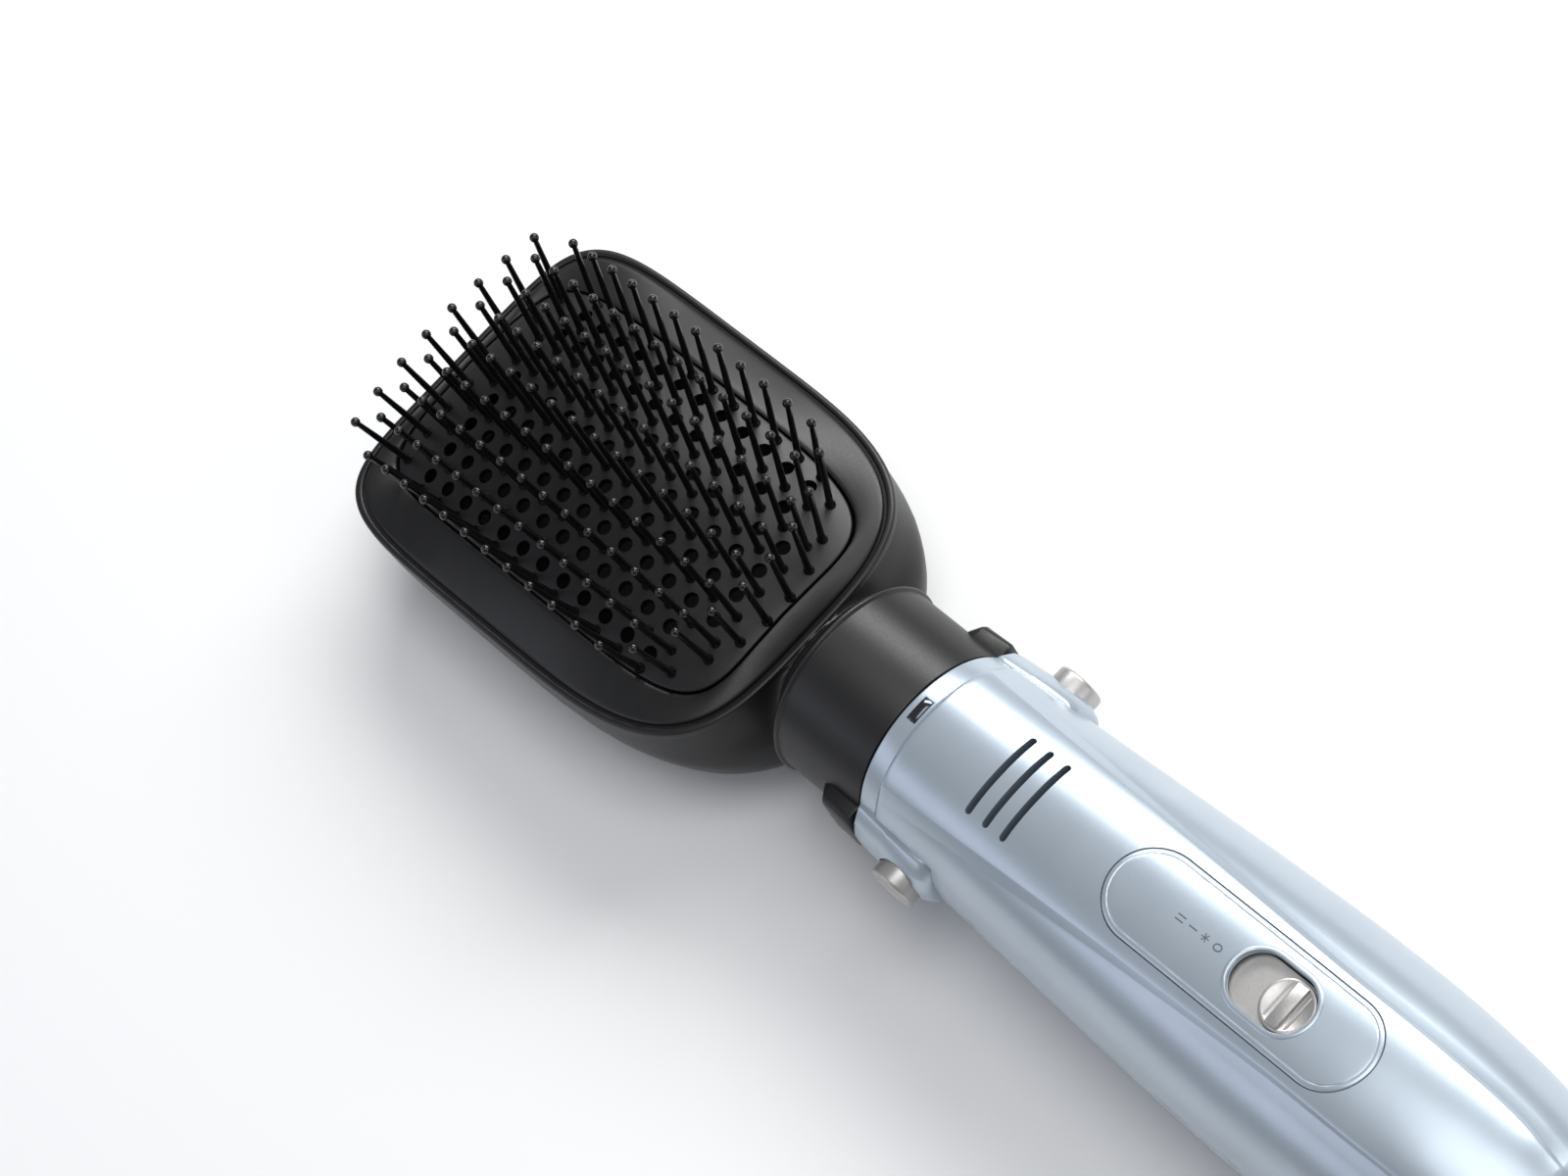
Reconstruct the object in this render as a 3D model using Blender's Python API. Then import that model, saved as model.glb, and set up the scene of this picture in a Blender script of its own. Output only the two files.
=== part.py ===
"""Hot air brush: a paddle brush head with ball-tipped bristles, lying bristles up, on the
neck of a blower handle. The head pulls off along the handle after its two side buttons are
pressed. Sizes are in millimetres in the constants and turned to metres by MM.

The design frame has X along the air axis, with 0 at the front edge of the handle's collar,
the head towards -X and the tail towards +X, and Z up out of the bristle face. The empty
`axis_frame` then stands the whole object on the ground, centred over the origin."""

import math

import bmesh
import bpy
import numpy as np
from mathutils import Matrix, Vector

MM = 0.001

# ---- clearances and walls ------------------------------------------------------------
GAP = 0.3            # between pieces that touch
SLIDE_GAP = 0.4      # between pieces that slide on each other
HANDLE_WALL = 2.9
HEAD_WALL = 2.2

# ---- neck and collar -----------------------------------------------------------------
NECK_R = 23.0
NECK_LENGTH = 26.6   # from the collar to the bead at the head
BEAD_R = 23.7
BEAD_WIDTH = 1.3
AIR_BORE_R = 18.2
SPIGOT_R = 20.0      # the neck's plug inside the collar
SPIGOT_LENGTH = 16.0
HEAD_PLUG_R = 20.6   # the neck's plug inside the head's hood, which cuts it to its own slope
HEAD_PLUG_LENGTH = 5.0
EAR_LENGTH = 10.8
EAR_HALF_HEIGHT = 7.0
EAR_OUT = 26.1
COLLAR_R = 23.2
COLLAR_WIDTH = 5.0
FLANK_END = 23.0     # where the button flanks stop
FLANK_OUT = 27.3
FLANK_HALF_HEIGHT = 9.5
FLANK_SINK = 3.0     # how far the flanks reach inside the collar's outside
MARK_HALF = 2.8      # half width of the index mark
MARK_X0 = 1.9
MARK_X1 = 3.8

# ---- handle: x, half width, top, bottom at each station -----------------------------------
STATIONS = (
    (COLLAR_WIDTH + GAP, 23.3, 23.3, -23.3),
    (25.0, 24.2, 23.9, -24.4),
    (50.0, 25.6, 24.8, -26.0),
    (80.0, 27.2, 25.7, -28.0),
    (110.0, 28.2, 26.2, -29.4),
    (135.0, 27.8, 25.8, -29.2),
    (155.0, 26.0, 24.2, -27.2),
    (168.0, 23.6, 22.0, -24.6),
    (175.0, 21.4, 20.0, -22.0),
    (178.0, 18.6, 17.4, -19.0),
)
HANDLE_END = STATIONS[-1][0]
TAIL_WALL = 6.5      # solid rim round the tail opening
SECTION_POWER = 2.2

# ---- vents, switch panel and slide switch ---------------------------------------------
VENT_FIRST_X = 27.0
VENT_PITCH = 5.1
VENT_WIDTH = 1.6
VENT_HALF_LENGTH = 9.8
PANEL_X = 96.5       # middle of the panel
PANEL_LENGTH = 71.0
PANEL_WIDTH = 21.4
PANEL_THICK = 1.3
WELL_X = 105.25      # middle of the switch well
WELL_LENGTH = 20.9
WELL_WIDTH = 14.0
KNOB_R = 6.1
KNOB_TRAVEL = 6.9
KNOB_BELOW_TOP = 0.7
KNOB_RIB_HALF = 1.6
SLIDER_BELOW = 0.9   # slider plate under the panel, which is curved
SLIDER_THICK = 1.0
SLIDER_OVERLAP = 1.0
SLIDER_WIDTH = WELL_WIDTH - 1.2
BOARD_THICK = 1.4
SWITCH_THICK = 1.5
DUCT_R = 16.6        # bore of the handle that the fan duct and heater sleeve sit in
DUCT_WALL = 1.0
SLEEVE_GAP = 1.2     # air gap round the heater sleeve

# ---- release buttons -------------------------------------------------------------------
BUTTON_X = 14.5
BUTTON_R = 5.6
BUTTON_OUT = 30.0
BUTTON_IN = 23.0
BUTTON_TRAVEL = 2.5
HOOK_TIP = 19.0
HOOK_HALF = 2.2

# ---- blower ----------------------------------------------------------------------------
HEATER_X0 = 24.0
HEATER_X1 = 88.0
MICA_HALF = 10.4
MICA_THICK = 0.9
COIL_R = 12.0
COIL_WIRE = 0.6
COIL_TURNS = 6
DUCT_X0 = 108.0
DUCT_X1 = 154.0
MOTOR_R = 11.0
MOTOR_X0 = 112.0
MOTOR_X1 = 138.0
SHAFT_R = 1.6
IMPELLER_X0 = 141.0
IMPELLER_X1 = 151.0
HUB_R = 5.5
BLADE_HALF = 0.6
BLADE_PITCH = 38.0   # degrees
IMPELLER_BLADES = 7
GRILLE_R = 15.6
GRILLE_THICK = 2.0
GRILLE_RECESS = 3.5
GRILLE_SLOTS = 12
FILTER_X = 169.0
FILTER_THICK = 1.6
GLAND_R = 5.2
GLAND_BORE_R = 3.4
GLAND_OUT = 12.0
TAIL_SCREW_X = 160.5

# ---- head: outline half lengths are measured from the pad's middle -------------------------
NECK_TO_FRAME = 13.5  # the slope of the head's hood, from the neck to the face frame
FACE_APEX = 12.3     # height of the pad above the air axis at its middle
FACE_TILT = 0.061    # rise per mm towards the neck
FACE_RADIUS_X = 198.0
FACE_RADIUS_Y = 88.0
PAD_NEAR = 52.8
PAD_FAR = 56.3
PAD_HALF_WIDTH = 31.3
PAD_THICK = 1.6
RIM_NEAR = 57.9
RIM_FAR = 60.0
RIM_HALF_WIDTH = 42.4
PAD_X = -(NECK_LENGTH + NECK_TO_FRAME + RIM_NEAR)
RIM_Z = 1.0
RIM_STEP = 1.0       # how far the shell's edge stands out of the face frame
FRAME_THICK = 2.2
FRAME_CROWN = 0.8
FRAME_LIFT = 0.5     # gap between the frame and the shell's edge
SKIRT_DEPTH = 3.0
PAD_POWERS = (5.0, 8.0)    # squareness of the outline at the near and the far end
RIM_POWERS = (3.6, 6.0)
BACK_Z = -24.0       # back of the shell
COVER_OUT = 3.0      # how far the back cover stands out of it
SCREW_PITCH_X = 38.0
SCREW_PITCH_Y = 22.0
SCREW_HEAD_R = 2.7
SCREW_SHANK_R = 1.3
SCREW_LENGTH = 8.0
BOSS_R = 3.4
BOSS_HEIGHT = 9.0
SCREW_SEAT = 1.3     # depth of the tail screw's seat in the lower shell

# ---- bristles --------------------------------------------------------------------------
ROW_PITCH = 7.0
COLUMN_PITCH = 7.2
ROWS = 14
BRISTLE_LENGTH = 21.4
BRISTLE_FAN_X = 375.0    # distance below the pad where the bristles' lines would meet
BRISTLE_FAN_Y = 133.0
BRISTLE_ROOT_R = 0.75
BRISTLE_NECK_R = 0.5
BALL_R = 1.1
STRIP_WIDTH = 1.4
STRIP_DEPTH = 3.2
END_ROW_FAR = -51.3
END_ROW_NEAR = (41.5, 46.6, 49.8, 51.2)   # from the outside bristle to the middle one
VENT_HOLE_R = 1.7

X_FRONT = PAD_X - RIM_FAR - 1.5
X_TAIL = HANDLE_END + GLAND_OUT
GROUND_Z = min(s[3] for s in STATIONS)


# ======================================================================================
# helpers
# ======================================================================================
for old in list(bpy.data.objects):
    bpy.data.objects.remove(old, do_unlink=True)

parts = bpy.data.collections.new("hot_air_brush")
cutters = bpy.data.collections.new("cutters")
bpy.context.scene.collection.children.link(parts)
bpy.context.scene.collection.children.link(cutters)

axis_frame = bpy.data.objects.new("axis_frame", None)
axis_frame.location = (-(X_FRONT + X_TAIL) / 2 * MM, 0, -GROUND_Z * MM)
parts.objects.link(axis_frame)


def material(name, colour, roughness, metallic=0.0):
    found = bpy.data.materials.get(name)
    if found:
        return found
    made = bpy.data.materials.new(name)
    made.use_nodes = True
    shader = made.node_tree.nodes["Principled BSDF"]
    shader.inputs["Base Color"].default_value = (*colour, 1)
    shader.inputs["Roughness"].default_value = roughness
    shader.inputs["Metallic"].default_value = metallic
    return made


BLACK = ("black_plastic", (0.03, 0.03, 0.033), 0.4)
PEARL = ("pearl_blue_paint", (0.72, 0.8, 0.88), 0.28, 0.3)
SATIN = ("satin_silver", (0.75, 0.76, 0.77), 0.3, 0.9)
CHROME = ("dark_chrome", (0.3, 0.31, 0.33), 0.15, 1.0)
WHITE = ("white_plastic", (0.8, 0.8, 0.8), 0.5)
STEEL = ("steel", (0.55, 0.55, 0.56), 0.3, 1.0)
MICA = ("mica", (0.6, 0.5, 0.35), 0.6)
WIRE = ("heater_wire", (0.4, 0.36, 0.33), 0.4, 1.0)
BOARD = ("board_green", (0.05, 0.25, 0.1), 0.5)
RUBBER = ("rubber", (0.04, 0.04, 0.04), 0.8)
FOAM = ("filter_foam", (0.1, 0.1, 0.11), 0.95)


def place(name, bm, finish, origin=(0, 0, 0), helper=False):
    """Turns a bmesh in millimetres of the design frame into an object with its origin there."""
    bmesh.ops.translate(bm, vec=-Vector(origin), verts=bm.verts)
    bmesh.ops.scale(bm, vec=(MM, MM, MM), verts=bm.verts)
    bmesh.ops.recalc_face_normals(bm, faces=bm.faces)
    mesh = bpy.data.meshes.new(name)
    bm.to_mesh(mesh)
    bm.free()
    mesh.shade_smooth()
    mesh.set_sharp_from_angle(angle=math.radians(35))
    thing = bpy.data.objects.new(name, mesh)
    thing.location = Vector(origin) * MM
    thing.parent = axis_frame
    if helper:
        thing.hide_render = True
        thing.display_type = "WIRE"
        cutters.objects.link(thing)
    else:
        mesh.materials.append(material(*finish))
        parts.objects.link(thing)
    return thing


def cutter(name, bm):
    return place(name, bm, None, helper=True)


def boolean(target, other, operation="DIFFERENCE", solver="EXACT"):
    modifier = target.modifiers.new(operation.title(), "BOOLEAN")
    modifier.operation = operation
    modifier.object = other
    modifier.solver = solver


def loft(rings, close=False):
    """Skins rings of equal counts. Without `close` both ends get a cap."""
    bm = bmesh.new()
    made = [[bm.verts.new(p) for p in ring] for ring in rings]
    pairs = list(zip(made, made[1:]))
    if close:
        pairs.append((made[-1], made[0]))
    for one, two in pairs:
        for i in range(len(one)):
            j = (i + 1) % len(one)
            bm.faces.new((one[i], one[j], two[j], two[i]))
    if not close:
        bm.faces.new(made[0])
        bm.faces.new(list(reversed(made[-1])))
    return bm


def turned(profile, sides=32):
    """Turns (x, r) points, listed round a closed section, about the air axis."""
    rings = []
    for k in range(sides):
        a = 2 * math.pi * k / sides
        rings.append([(x, r * math.cos(a), r * math.sin(a)) for x, r in profile])
    return loft(rings, close=True)


def tube(x0, x1, outer, inner, sides=32):
    return turned([(x0, inner), (x1, inner), (x1, outer), (x0, outer)], sides)


def rod(start, end, radius, sides=24):
    """A cylinder between two points."""
    start = Vector(start)
    along = Vector(end) - start
    bm = bmesh.new()
    bmesh.ops.create_cone(
        bm, cap_ends=True, segments=sides, radius1=radius, radius2=radius, depth=along.length
    )
    turn = Vector((0, 0, 1)).rotation_difference(along).to_matrix().to_4x4()
    bmesh.ops.transform(bm, matrix=Matrix.Translation(start + along / 2) @ turn, verts=bm.verts)
    return bm


def block(low, high):
    low = Vector(low)
    high = Vector(high)
    bm = bmesh.new()
    bmesh.ops.create_cube(bm, size=1)
    bmesh.ops.scale(bm, vec=high - low, verts=bm.verts)
    bmesh.ops.translate(bm, vec=(low + high) / 2, verts=bm.verts)
    return bm


def prism(outline, low, high, axis="Z"):
    """Extrudes a plan outline of (x, y) from low to high, or of (x, z) along Y."""
    if axis == "Z":
        return loft([[(x, y, z) for x, y in outline] for z in (low, high)])
    return loft([[(x, y, z) for x, z in outline] for y in (low, high)])


def stadium(x, length, width, arc=8):
    """Outline of a slot with round ends, along X."""
    radius = width / 2
    reach = length / 2 - radius
    points = []
    for side in (1, -1):
        for k in range(arc + 1):
            a = math.radians(-90 + 180 * k / arc)
            points.append((x + side * (reach + radius * math.cos(a)), side * radius * math.sin(a)))
    return points


def merged(*pieces):
    """Several bmeshes in one, still as separate closed shapes."""
    whole = bmesh.new()
    for piece in pieces:
        mesh = bpy.data.meshes.new("piece")
        piece.to_mesh(mesh)
        piece.free()
        whole.from_mesh(mesh)
        bpy.data.meshes.remove(mesh)
    return whole


def superellipse(near, far, half_width, near_power, far_power, count=32):
    """Plan outline round the pad's middle, squarer at the far end than at the neck."""
    points = []
    for k in range(count):
        a = 2 * math.pi * k / count
        c, s = math.cos(a), math.sin(a)
        reach, power = (near, near_power) if c > 0 else (far, far_power)
        points.append(
            (
                PAD_X + reach * math.copysign(abs(c) ** (2 / power), c),
                half_width * math.copysign(abs(s) ** (2 / power), s),
            )
        )
    return points


def face_z(x, y):
    """Height of the crowned bristle face over the air axis."""
    u = x - PAD_X
    return FACE_APEX + FACE_TILT * u - u * u / (2 * FACE_RADIUS_X) - y * y / (2 * FACE_RADIUS_Y)


def rim_z(x):
    return RIM_Z + FACE_TILT * (x - PAD_X)


# ======================================================================================
# head
# ======================================================================================
def shell_ring(inset, near, far, half_width, near_power, far_power, z, tilt):
    outline = superellipse(near - inset, far - inset, half_width - inset, near_power, far_power)
    return [(x, y, z + tilt * (x - PAD_X)) for x, y in outline]


SHELL_RINGS = (
    # near, far, half width, near power, far power, z, tilt: from the rim down to the back
    (RIM_NEAR + RIM_STEP, RIM_FAR + RIM_STEP, RIM_HALF_WIDTH + RIM_STEP, *RIM_POWERS, RIM_Z, FACE_TILT),
    (RIM_NEAR + 5.0, RIM_FAR + 1.5, RIM_HALF_WIDTH + 1.5, 3.3, 6.0, -4.0, 0.03),
    (RIM_NEAR + 11.0, RIM_FAR + 1.5, RIM_HALF_WIDTH + 1.3, 3.1, 5.5, -9.0, 0.01),
    (RIM_NEAR + 12.0, RIM_FAR, RIM_HALF_WIDTH - 0.2, 3.0, 5.0, -14.0, 0.0),
    (RIM_NEAR + 10.0, RIM_FAR - 5.0, RIM_HALF_WIDTH - 5.0, 3.0, 4.0, -19.5, 0.0),
    (RIM_NEAR + 3.0, RIM_FAR - 13.0, RIM_HALF_WIDTH - 12.0, 2.8, 3.2, BACK_Z, 0.0),
)


def hood(inset, overrun=0.0):
    """The socket that takes the neck. It slopes up from the frame to the neck's full height."""
    frame_end = PAD_X + RIM_NEAR + GAP
    seam = -NECK_LENGTH - GAP
    rise = seam - frame_end
    stages = (
        (frame_end - 8, 12.0, -11.0), (frame_end, 12.7, -10.2), (frame_end + 0.3 * rise, 15.1, -7.8),
        (frame_end + 0.6 * rise, 18.3, -4.7), (seam - 0.6, NECK_R - 0.3, -0.3), (seam + overrun, NECK_R, 0.0),
    )
    turns = [2 * math.pi * k / 32 for k in range(32)]
    return loft([[(x, (r - inset) * math.cos(a), middle + (r - inset) * math.sin(a)) for a in turns]
                 for x, r, middle in stages])


def head_shell():
    outer = [shell_ring(0, *ring) for ring in SHELL_RINGS]
    shell = place("head_shell", loft(outer), BLACK)
    boolean(shell, cutter("socket_body", hood(0)), "UNION")
    inner = [shell_ring(HEAD_WALL, *ring) for ring in SHELL_RINGS[:-1]]
    top = [(x, y, z + 6) for x, y, z in inner[0]]
    floor = [(x, y, BACK_Z + HEAD_WALL) for x, y, _ in shell_ring(HEAD_WALL, *SHELL_RINGS[-1])]
    boolean(shell, cutter("head_cavity", loft([top, *inner, floor])))
    boolean(shell, cutter("socket_inside", hood(HEAD_WALL, GAP)))
    bosses = merged(*(rod((x, y, BACK_Z + 0.5), (x, y, BACK_Z + BOSS_HEIGHT), BOSS_R, 12)
                      for x, y in screw_places()))
    boolean(shell, cutter("screw_bosses", bosses), "UNION")
    opening = superellipse(34, 30, 15, 4, 4, 24)
    boolean(shell, cutter("back_opening", prism(opening, BACK_Z - 5, BACK_Z + 5)))
    holes = merged(*(rod((x, y, BACK_Z - 1), (x, y, BACK_Z + SCREW_LENGTH), SCREW_SHANK_R + GAP, 12)
                     for x, y in screw_places()))
    boolean(shell, cutter("boss_holes", holes))
    return shell


def screw_places():
    return [(PAD_X + sx * SCREW_PITCH_X, sy * SCREW_PITCH_Y) for sx in (-1, 1) for sy in (-1, 1)]


def head_back_cover():
    top = BACK_Z - GAP
    rings = []
    for inset, z in ((0.0, top), (0.3, top - 1.4), (6.0, top - COVER_OUT + 0.6), (16.0, top - COVER_OUT)):
        outline = superellipse(RIM_NEAR + 1 - inset, RIM_FAR - 14.5 - inset, RIM_HALF_WIDTH - 13.5 - inset,
                               2.8, 3.2)
        rings.append([(x, y, z) for x, y in outline])
    cover = place("head_back_cover", loft(rings), PEARL)
    holes = []
    for x, y in screw_places():
        holes.append(rod((x, y, top - COVER_OUT - 2), (x, y, top + 1), SCREW_SHANK_R + GAP, 12))
        holes.append(rod((x, y, top - COVER_OUT - 2), (x, y, top - 1.1), SCREW_HEAD_R + GAP, 16))
    boolean(cover, cutter("cover_holes_1", merged(*holes[0::2])))
    boolean(cover, cutter("cover_holes_2", merged(*holes[1::2])))


def head_screws():
    seat = BACK_Z - GAP - 1.1 - GAP
    for n, (x, y) in enumerate(screw_places(), 1):
        profile = [(0, seat + SCREW_LENGTH - 1.5), (SCREW_SHANK_R, seat + SCREW_LENGTH - 1.5),
                   (SCREW_SHANK_R, seat), (SCREW_HEAD_R, seat), (SCREW_HEAD_R, seat - 1.2)]
        rings = [[(x + r * math.cos(a), y + r * math.sin(a), z)
                  for a in np.linspace(0, 2 * math.pi, 13)[:-1]] for r, z in profile[1:]]
        place(f"head_screw_{n}", loft(rings), STEEL, origin=(x, y, seat))


def face_frame():
    """The band round the bristle pad. Its skirt drops inside the shell's edge."""
    inner = superellipse(PAD_NEAR, PAD_FAR, PAD_HALF_WIDTH, *PAD_POWERS)
    outer = superellipse(RIM_NEAR, RIM_FAR, RIM_HALF_WIDTH, *RIM_POWERS)
    inset = HEAD_WALL - RIM_STEP + GAP
    skirt = superellipse(RIM_NEAR - inset, RIM_FAR - inset, RIM_HALF_WIDTH - inset, *RIM_POWERS)
    top_in = [(x, y, face_z(x, y)) for x, y in inner]
    top_out = [(x, y, rim_z(x) + FRAME_LIFT) for x, y in outer]
    rings = [top_in]
    for share in (0.35, 0.7):
        bulge = FRAME_CROWN * math.sin(math.pi * share)
        rings.append([tuple(Vector(a).lerp(Vector(b), share) + Vector((0, 0, bulge)))
                      for a, b in zip(top_in, top_out)])
    lip = [(x, y, rim_z(x) + FRAME_LIFT) for x, y in skirt]
    under = [(x, y, rim_z(x) - SKIRT_DEPTH) for x, y in skirt]
    low_in = [(x, y, z - FRAME_THICK) for x, y, z in top_in]
    place("face_frame", loft([*rings, top_out, lip, under, low_in], close=True), BLACK)


def plate_outline():
    return superellipse(PAD_NEAR - GAP, PAD_FAR - GAP, PAD_HALF_WIDTH - GAP, *PAD_POWERS, 32)


def bristle_plate():
    """The perforated face: vents between the bristles, and a slot for each bristle strip."""
    rows = [PAD_X + (row - (ROWS - 1) / 2) * ROW_PITCH for row in range(0, ROWS, 2)]
    columns = [column * COLUMN_PITCH for column in (-5, -3, -1, 1, 3, 5)]
    rings = []
    for x in (PAD_X - PAD_FAR - 2, *rows, PAD_X + PAD_NEAR + 2):
        top = [(x, y, face_z(x, y)) for y in columns]
        rings.append(top + [(x, y, z - PAD_THICK) for _, y, z in reversed(top)])
    plate = place("bristle_plate", loft(rings), BLACK)
    boolean(plate, cutter("plate_outline", prism(plate_outline(), -40, 40)), "INTERSECT", solver="MANIFOLD")
    overrun = STRIP_WIDTH / 2 + GAP
    slots = []
    for name, path in strips():
        ends = path if name == "bristle_end_near" else [path[0], path[-1]]
        slots.append(ribbon(ends, overrun, 20.0, -20.0, overrun))
    # EXACT leaves open edges where these many cuts come close, so the plate uses MANIFOLD
    boolean(plate, cutter("row_slots", merged(*slots[:ROWS])), solver="MANIFOLD")
    boolean(plate, cutter("edge_slots", merged(*slots[ROWS:])), solver="MANIFOLD")
    holes = [rod((x, y, -12), (x, y, 20), VENT_HOLE_R, 4) for x, y in vent_places()]
    boolean(plate, cutter("vent_holes", merged(*holes)), solver="MANIFOLD")


def vent_places():
    """Vent centres, half a pitch off the bristles both ways."""
    found = []
    for row in range(ROWS - 1):
        for column in range(8):
            x = PAD_X + (row + 0.5 - (ROWS - 1) / 2) * ROW_PITCH
            y = (column - 3.5) * COLUMN_PITCH
            if row == ROWS - 2 and column in (0, 1, 6, 7):
                continue
            found.append((x, y))
    return found


def strips():
    """(name, base points) of each bristle strip, one point to a bristle, on the pad's plan."""
    found = []
    for row in range(ROWS):
        last = 2 if row == ROWS - 1 else 3
        x = PAD_X + (row - (ROWS - 1) / 2) * ROW_PITCH
        points = [(x, column * COLUMN_PITCH) for column in range(-last, last + 1)]
        found.append((f"bristle_row_{row + 1:02d}", points))
    for name, side in (("bristle_side_left", -1), ("bristle_side_right", 1)):
        points = [(PAD_X + (k - 6) * ROW_PITCH, side * 4 * COLUMN_PITCH) for k in range(ROWS - 2)]
        found.append((name, points))
    halves = [k - 3.5 for k in range(8)]
    near = END_ROW_NEAR + END_ROW_NEAR[::-1]
    found.append(("bristle_end_far", [(PAD_X + END_ROW_FAR, h * COLUMN_PITCH) for h in halves]))
    found.append(("bristle_end_near", [(PAD_X + u, h * COLUMN_PITCH) for u, h in zip(near, halves)]))
    return found


def ribbon(points, half_width, up, down, overrun):
    """A strip along plan points: its top follows the face at height `up`, its bottom at `down`."""
    path = [Vector(p) for p in points]
    path[0] = path[0] + (path[0] - path[1]).normalized() * overrun
    path[-1] = path[-1] + (path[-1] - path[-2]).normalized() * overrun
    rings = []
    for k, p in enumerate(path):
        before = path[max(k - 1, 0)]
        after = path[min(k + 1, len(path) - 1)]
        along = (after - before).normalized()
        side = Vector((-along.y, along.x)) * half_width
        z = face_z(p.x, p.y)
        left, right = p + side, p - side
        rings.append([(*left, z + up), (*right, z + up), (*right, z + down), (*left, z + down)])
    return loft(rings)


def bristle(x, y, sides=3):
    """One ball-tipped bristle, rooted inside its strip."""
    root = Vector((x, y, face_z(x, y)))
    lean = Vector(((x - PAD_X) / BRISTLE_FAN_X - FACE_TILT, y / BRISTLE_FAN_Y, 1)).normalized()
    across = lean.orthogonal().normalized()
    other = lean.cross(across)
    profile = ((BRISTLE_ROOT_R * 0.9, -1.4), (BRISTLE_NECK_R, BRISTLE_LENGTH - 2.4 * BALL_R),
               (BALL_R, BRISTLE_LENGTH - BALL_R), (BALL_R * 0.45, BRISTLE_LENGTH - 0.1))
    rings = []
    for r, h in profile:
        rings.append([root + lean * h + (across * math.cos(a) + other * math.sin(a)) * r
                      for a in (2 * math.pi * k / sides for k in range(sides))])
    return loft(rings)


def bristle_strips():
    for name, points in strips():
        path = points if name == "bristle_end_near" else [points[0], *points[1:-1:2], points[-1]]
        strip = place(name, ribbon(path, STRIP_WIDTH / 2, 0.0, -STRIP_DEPTH, STRIP_WIDTH / 2), BLACK)
        pins = cutter(name + "_pins", merged(*(bristle(x, y) for x, y in points)))
        boolean(strip, pins, "UNION")


def air_guide():
    """The sloping baffle that turns the air from the neck up through the pad."""
    low, high, thick = -17.0, -9.0, 1.4
    near, far = PAD_X + 40, PAD_X - 44
    outline = [(near, low), (far, high), (far, high + thick), (near, low + thick)]
    place("air_guide", prism(outline, -17, 17, "Y"), BLACK)


def neck_tube():
    back = -NECK_LENGTH - HEAD_PLUG_LENGTH
    profile = [
        (back, AIR_BORE_R), (SPIGOT_LENGTH, AIR_BORE_R), (SPIGOT_LENGTH, SPIGOT_R), (-GAP, SPIGOT_R),
        (-GAP, NECK_R), (-NECK_LENGTH + BEAD_WIDTH, NECK_R), (-NECK_LENGTH + BEAD_WIDTH * 0.7, BEAD_R),
        (-NECK_LENGTH + BEAD_WIDTH * 0.3, BEAD_R), (-NECK_LENGTH, NECK_R), (-NECK_LENGTH, HEAD_PLUG_R),
        (back, HEAD_PLUG_R),
    ]
    neck = place("neck_tube", turned(profile, 32), BLACK)
    # the plug keeps to the inside of the hood
    plug_outside = rod((back - 1, 0, 0), (-NECK_LENGTH - GAP / 2, 0, 0), HEAD_PLUG_R + 1, 32)
    keep = cutter("plug_trim", plug_outside)
    boolean(keep, cutter("plug_keep", hood(HEAD_WALL + GAP, GAP)))
    boolean(neck, keep)
    ears = []
    for side in (-1, 1):
        outline = [(-EAR_LENGTH, side * 21), (-EAR_LENGTH + 2.2, side * (EAR_OUT - 0.4)),
                   (-GAP, side * EAR_OUT), (-GAP, side * 21)]
        ears.append(prism(outline, -EAR_HALF_HEIGHT, EAR_HALF_HEIGHT))
    boolean(neck, cutter("neck_ears", merged(*ears)), "UNION")
    windows = [block((BUTTON_X - HOOK_HALF - 3, side * SPIGOT_R - 5, -HOOK_HALF - 2),
                     (SPIGOT_LENGTH + 2, side * SPIGOT_R + 5, HOOK_HALF + 2)) for side in (-1, 1)]
    boolean(neck, cutter("latch_windows", merged(*windows)))


# ======================================================================================
# handle
# ======================================================================================
def section(x, half_width, top, bottom, inset=0.0, count=32):
    """One cross-section of the handle, fuller than an ellipse."""
    points = []
    for k in range(count):
        a = 2 * math.pi * k / count
        c, s = math.cos(a), math.sin(a)
        height = (top if s > 0 else -bottom) - inset
        points.append((
            x,
            (half_width - inset) * math.copysign(abs(c) ** (2 / SECTION_POWER), c),
            height * math.copysign(abs(s) ** (2 / SECTION_POWER), s),
        ))
    return points


def handle_at(x):
    """(half width, top, bottom) of the handle at x."""
    xs = [s[0] for s in STATIONS]
    return [float(np.interp(x, xs, [s[k] for s in STATIONS])) for k in (1, 2, 3)]


def handle_body(inset, x0, x1):
    stations = [x0, *(s[0] for s in STATIONS if x0 + 1 < s[0] < x1 - 1), x1]
    return loft([section(x, *handle_at(x), inset) for x in stations])


def flank_outline(side, grow=0.0):
    inside = side * (COLLAR_R - FLANK_SINK - grow)
    return [(-grow, inside), (-grow, side * (FLANK_OUT - 1.2 + grow)),
            (9.0, side * (FLANK_OUT - 0.4 + grow)), (FLANK_END - 2.4, side * (FLANK_OUT + grow)),
            (FLANK_END + grow, side * (FLANK_OUT - 2.2 + grow)), (FLANK_END + grow, inside)]


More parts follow.
